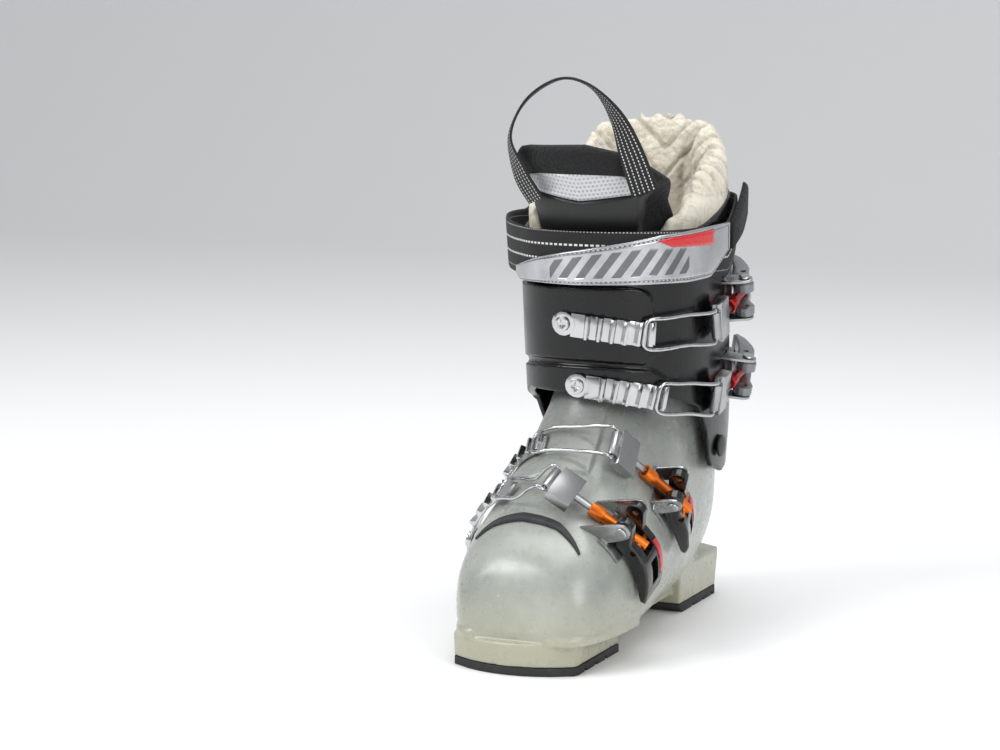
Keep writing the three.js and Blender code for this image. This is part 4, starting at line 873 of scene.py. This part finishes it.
def make_badge():
    def lifts(t, h):
        base = badge_base(-46 + 140 * t)
        rim = np.minimum(np.minimum(h, 1 - h) * 10, np.minimum(t, 1 - t) * 50)
        groove = np.exp(-((rim - 0.78) / 0.16) ** 2)
        return base + 0 * h, base + 1.3 * np.clip(rim / 0.3, 0, 1) ** 0.5 - 0.5 * groove
    columns, rows = 260, 44
    badge = sheet("strap_badge_plate", CUFF, (-46, 94), badge_edges, lifts, columns, rows)
    rim = badge.data.attributes.new("rim", "FLOAT", "POINT")
    for index in range(len(badge.data.vertices)):
        i, j = divmod(index % ((columns + 1) * (rows + 1)), rows + 1)
        h, t = j / rows, i / columns
        rim.data[index].value = min(min(h, 1 - h) * 10, min(t, 1 - t) * 50, 3) / 3
    place(badge, "cuff", "badge_silver", MATERIALS["badge_silver"], "strap_badge")

    def red_edges(t):
        return (table([(0, 3.86), (0.2, 3.76), (1, 3.74)], t),
                table([(0, 3.88), (0.2, 3.92), (1, 3.98)], t))

    def red_lifts(t, h):
        base = badge_base(42 + 36 * t) + 1.0
        rim = np.clip(np.minimum(np.minimum(t, 1 - t) * 14, np.minimum(h, 1 - h) * 6), 0, 1) ** 0.5
        return base + 0 * h, base + 0.5 + 0.9 * rim
    red = sheet("badge_wedge", CUFF, (42, 78), red_edges, red_lifts, 40, 14)
    place(red, "cuff", "red_gloss", MATERIALS["red_gloss"], "badge_inset")


LOOP = [([-26, -90, 268], [0.8, -0.5, 0.2]), ([-35, -93, 284], [0.75, -0.6, 0.3]),
        ([-43, -91, 306], [0.45, -0.85, 0]), ([-34, -87, 328], [0.3, -0.9, 0]),
        ([-13, -85, 341], [0.15, -1, 0]), ([7, -86, 337], [0.2, -0.9, 0.2]),
        ([24, -88, 320], [0.55, -0.6, 0.4]), ([36, -92, 298], [0.85, -0.1, 0.3]),
        ([44, -90, 275], [0.93, 0.25, 0.25])]


def make_loop():
    at = np.array([p for p, _ in LOOP], float)
    wide = np.array([w for _, w in LOOP], float)
    count = 160
    u = np.linspace(0, len(LOOP) - 1, count + 1)
    centre = spline_rows(at, u)
    side = spline_rows(wide, u)
    tangent = np.gradient(centre, axis=0)
    tangent /= np.linalg.norm(tangent, axis=1, keepdims=True)
    side -= tangent * (side * tangent).sum(1, keepdims=True)
    side /= np.linalg.norm(side, axis=1, keepdims=True)
    deep = np.cross(tangent, side)
    half, thick = 8.2, 0.85
    across = np.linspace(-1, 1, 13)
    section = [(half * a, thick * (1 - 0.5 * abs(a) ** 8)) for a in across]
    section += [(half * a, -thick * (1 - 0.5 * abs(a) ** 8)) for a in across[::-1]]
    n = len(section)
    points = np.stack([centre + side * a + deep * b for a, b in section], 1)
    faces = []
    for i in range(count):
        for j in range(n):
            k = (j + 1) % n
            faces.append([i * n + j, i * n + k, (i + 1) * n + k, (i + 1) * n + j])
    faces += [list(range(n))[::-1], [count * n + j for j in range(n)]]
    obj = mesh_object("pull_loop_band", points.reshape(-1, 3), faces)
    fix_normals(obj)
    lengths = np.concatenate([[0], np.cumsum(np.linalg.norm(np.diff(centre, axis=0), axis=1))])
    layer = obj.data.uv_layers.new(name="place")
    for poly in obj.data.polygons:
        for loop, vertex in zip(poly.loop_indices, poly.vertices):
            i, j = divmod(vertex, n)
            layer.data[loop].uv = (lengths[i] / 100, (section[j][0] + half) / 100)
    rows = [(p, 0.34, 2.0, 0.55, 0.8) for p in (0.14, 0.32, 0.5, 0.68, 0.86)]
    place(obj, "cuff", "black_webbing", webbing_material("loop_webbing", rows, 2 * half), "pull_loop")


# ------------------------------------------------------------------ hardware
def refined(node, bevel, segments=2, subdivide=0, swell=0.0):
    """A CAD node's shape with its coplanar faces merged and its edges rounded."""
    source = frame["nodes"][node]
    bm = bmesh.new()
    bm.from_mesh(source.data)
    bmesh.ops.transform(bm, matrix=source.matrix_world, verts=bm.verts)
    bmesh.ops.remove_doubles(bm, verts=bm.verts, dist=2e-6)
    if not subdivide:
        bmesh.ops.dissolve_limit(bm, angle_limit=1.5 * RAD, verts=bm.verts, edges=bm.edges)
    mesh = bpy.data.meshes.new(node + "_made")
    bm.to_mesh(mesh)
    bm.free()
    obj = bpy.data.objects.new(node + "_made", mesh)
    bpy.context.scene.collection.objects.link(obj)
    if subdivide:
        push = obj.modifiers.new("swell", "DISPLACE")
        push.mid_level = 0
        push.strength = swell / 1000
        more = obj.modifiers.new("round", "SUBSURF")
        more.levels = more.render_levels = subdivide
    if bevel:
        edge = obj.modifiers.new("edge", "BEVEL")
        edge.width = bevel / 1000
        edge.segments = segments
        edge.limit_method = "ANGLE"
        edge.angle_limit = 28 * RAD
        edge.use_clamp_overlap = True
    bake(obj)
    obj.data.shade_smooth()
    obj.data.set_sharp_from_angle(angle=42 * RAD)
    return obj


slots = {s["node"]: s["material_slot"] for s in record["subparts"]}


def keep_node(node, bevel=0.3, **extra):
    obj = refined(node, bevel, **extra)
    return place(obj, node_body[node], slots[node], MATERIALS[slots[node]], node)


def make_hardware():
    for buckle in ("toe", "instep", "lower_cuff", "upper_cuff"):
        keep_node(f"{buckle}_rack", 0.35)
        keep_node(f"{buckle}_rack_screw", 0.25)
        keep_node(f"{buckle}_bail", 0, subdivide=2, swell=0.13)
        keep_node(f"{buckle}_block", 0.5)
        keep_node(f"{buckle}_adjuster", 0.4)
        keep_node(f"{buckle}_lever", 0.6, segments=3)
        keep_node(f"{buckle}_lever_inlay", 0.3)
        keep_node(f"{buckle}_bracket", 0.3)
        keep_node(f"{buckle}_pin", 0.4, segments=3)
    for node in ("cuff_pivot_outer", "cuff_pivot_inner", "strap_rivet"):
        keep_node(node, 0.6, segments=3)
    for node in ("toe_sole_pad", "heel_sole_pad", "bootboard", "insole"):
        keep_node(node, 0.5)


def make_seal():
    def edges(t):
        half = 0.14 * np.sin(math.pi * (0.06 + 0.88 * t)) + 0.02
        middle = table([(0, 2.62), (0.2, 2.8), (0.45, 2.86), (0.7, 2.66), (1, 2.12)], t)
        return middle - half, middle + half

    def lifts(t, h):
        dome = np.clip(np.minimum(h, 1 - h) * 4, 0, 1) ** 0.5
        return GAP + 0 * t, 0.5 + (0.7 + 1.6 * np.sin(math.pi * t)) * dome
    obj = sheet("throat_seal_strip", SHELL, (-47, 41), edges, lifts, 60, 12)
    place(obj, "shell", "seal_rubber", MATERIALS["seal_rubber"], "throat_seal")


def make_liner_foot():
    clear = -SHELL_WALL - LINER_CLEARANCE
    obj = lofted(SHELL, 1, 11.5, 90, 80, clear, "liner_foot_fur")
    top = [(-220, 112), (120, 112), (120, 260), (-220, 260)]
    inside = lofted(SHELL, 1.7, 12, 60, 60, clear - LINER_WALL, "t1")
    boolean(inside, box_tool("t2", -90, 90, -220, 120, -10, 31), "DIFFERENCE")
    boolean(obj, prism("t3", top, -90, 90), "DIFFERENCE")
    boolean(obj, box_tool("t4", -90, 90, -220, 120, -10, 24.35), "DIFFERENCE")
    boolean(obj, inside, "DIFFERENCE")
    molded(obj, 1.8, 2)
    normals = [v.normal.copy() for v in obj.data.vertices]
    for vertex, normal in zip(obj.data.vertices, normals):
        vertex.co += normal * (0.0006 * noise.noise(vertex.co * 90) - 0.0004)
    place(obj, "shell", "liner_fur", MATERIALS["liner_fur"], "liner_foot")


make_lower_shell()
make_cuff()
make_liner_cuff()
make_liner_foot()
make_tongue()
make_strap()
make_badge()
make_loop()
make_seal()
make_hardware()


# ------------------------------------------------------------------ stage, light, camera
def make_stage():
    profile = [(-5.0, 0.0), (2.2, 0.0)]
    profile += [(2.2 + 1.6 * math.sin(a * RAD), 1.6 - 1.6 * math.cos(a * RAD)) for a in range(6, 91, 6)]
    profile.append((3.8, 5.0))
    points = [(x, y, z) for y, z in profile for x in (-7, 7)]
    steps = len(profile) - 1
    faces = [[2 * k, 2 * k + 1, 2 * k + 3, 2 * k + 2] for k in range(steps)]
    floor = mesh_object("floor", points, faces, in_row=True)
    s = Shader("floor_pale")
    s.set(Base_Color=(0.86, 0.865, 0.87), Roughness=0.65)
    floor.data.materials.append(s.material)
    scene = bpy.context.scene
    world = bpy.data.worlds.new("studio")
    scene.world = world
    world.use_nodes = True
    world.node_tree.nodes["Background"].inputs["Color"].default_value = (0.93, 0.94, 0.96, 1)
    world.node_tree.nodes["Background"].inputs["Strength"].default_value = 0.55
    scene.view_settings.view_transform = "Standard"

    def softbox(name, at, aim, size, power):
        lamp = bpy.data.lights.new(name, "AREA")
        lamp.shape = "RECTANGLE"
        lamp.size, lamp.size_y = size
        lamp.energy = power
        obj = bpy.data.objects.new(name, lamp)
        scene.collection.objects.link(obj)
        obj.location = at
        obj.rotation_mode = "QUATERNION"
        obj.rotation_quaternion = (Vector(aim) - Vector(at)).to_track_quat("-Z", "Y")
    def card(name, at, size):
        w, h = size
        corners = [(-w, 0, -h), (w, 0, -h), (w, 0, h), (-w, 0, h)]
        obj = mesh_object(name, corners, [[0, 1, 2, 3]], in_row=True)
        obj.location = at
        obj.rotation_euler = (0, 0, math.atan2(at[0], -at[1]))
        s_ = Shader(name)
        s_.set(Base_Color=(0.01, 0.01, 0.01), Roughness=1.0)
        obj.data.materials.append(s_.material)
    card("card_left", (-1.9, -1.0, 0.55), (0.35, 0.5))
    card("card_right", (2.1, -0.2, 0.55), (0.35, 0.5))
    card("card_front", (0.05, -2.6, 0.75), (0.30, 0.35))
    softbox("key", (-1.1, -1.3, 1.5), (0, 0, 0.15), (1.2, 1.0), 26)
    softbox("fill", (1.6, -0.9, 0.9), (0, 0, 0.15), (1.0, 1.2), 14)
    softbox("top", (0.1, 0.2, 1.9), (0, 0, 0.1), (1.4, 1.4), 22)

    azimuth, elevation, distance = 24 * RAD, 8 * RAD, 1.6
    target = Vector(to_row([-15.706, -166.870, 172.145]).tolist())
    back = Vector((math.sin(azimuth) * math.cos(elevation), -math.cos(azimuth) * math.cos(elevation),
                   math.sin(elevation)))
    camera = bpy.data.cameras.new("camera")
    camera.sensor_width = 36
    camera.lens = 99.07
    camera.clip_start, camera.clip_end = 0.05, 50
    holder = bpy.data.objects.new("camera", camera)
    scene.collection.objects.link(holder)
    holder.location = target + back * distance
    holder.rotation_mode = "QUATERNION"
    holder.rotation_quaternion = (-back).to_track_quat("-Z", "Y")
    scene.camera = holder


make_stage()
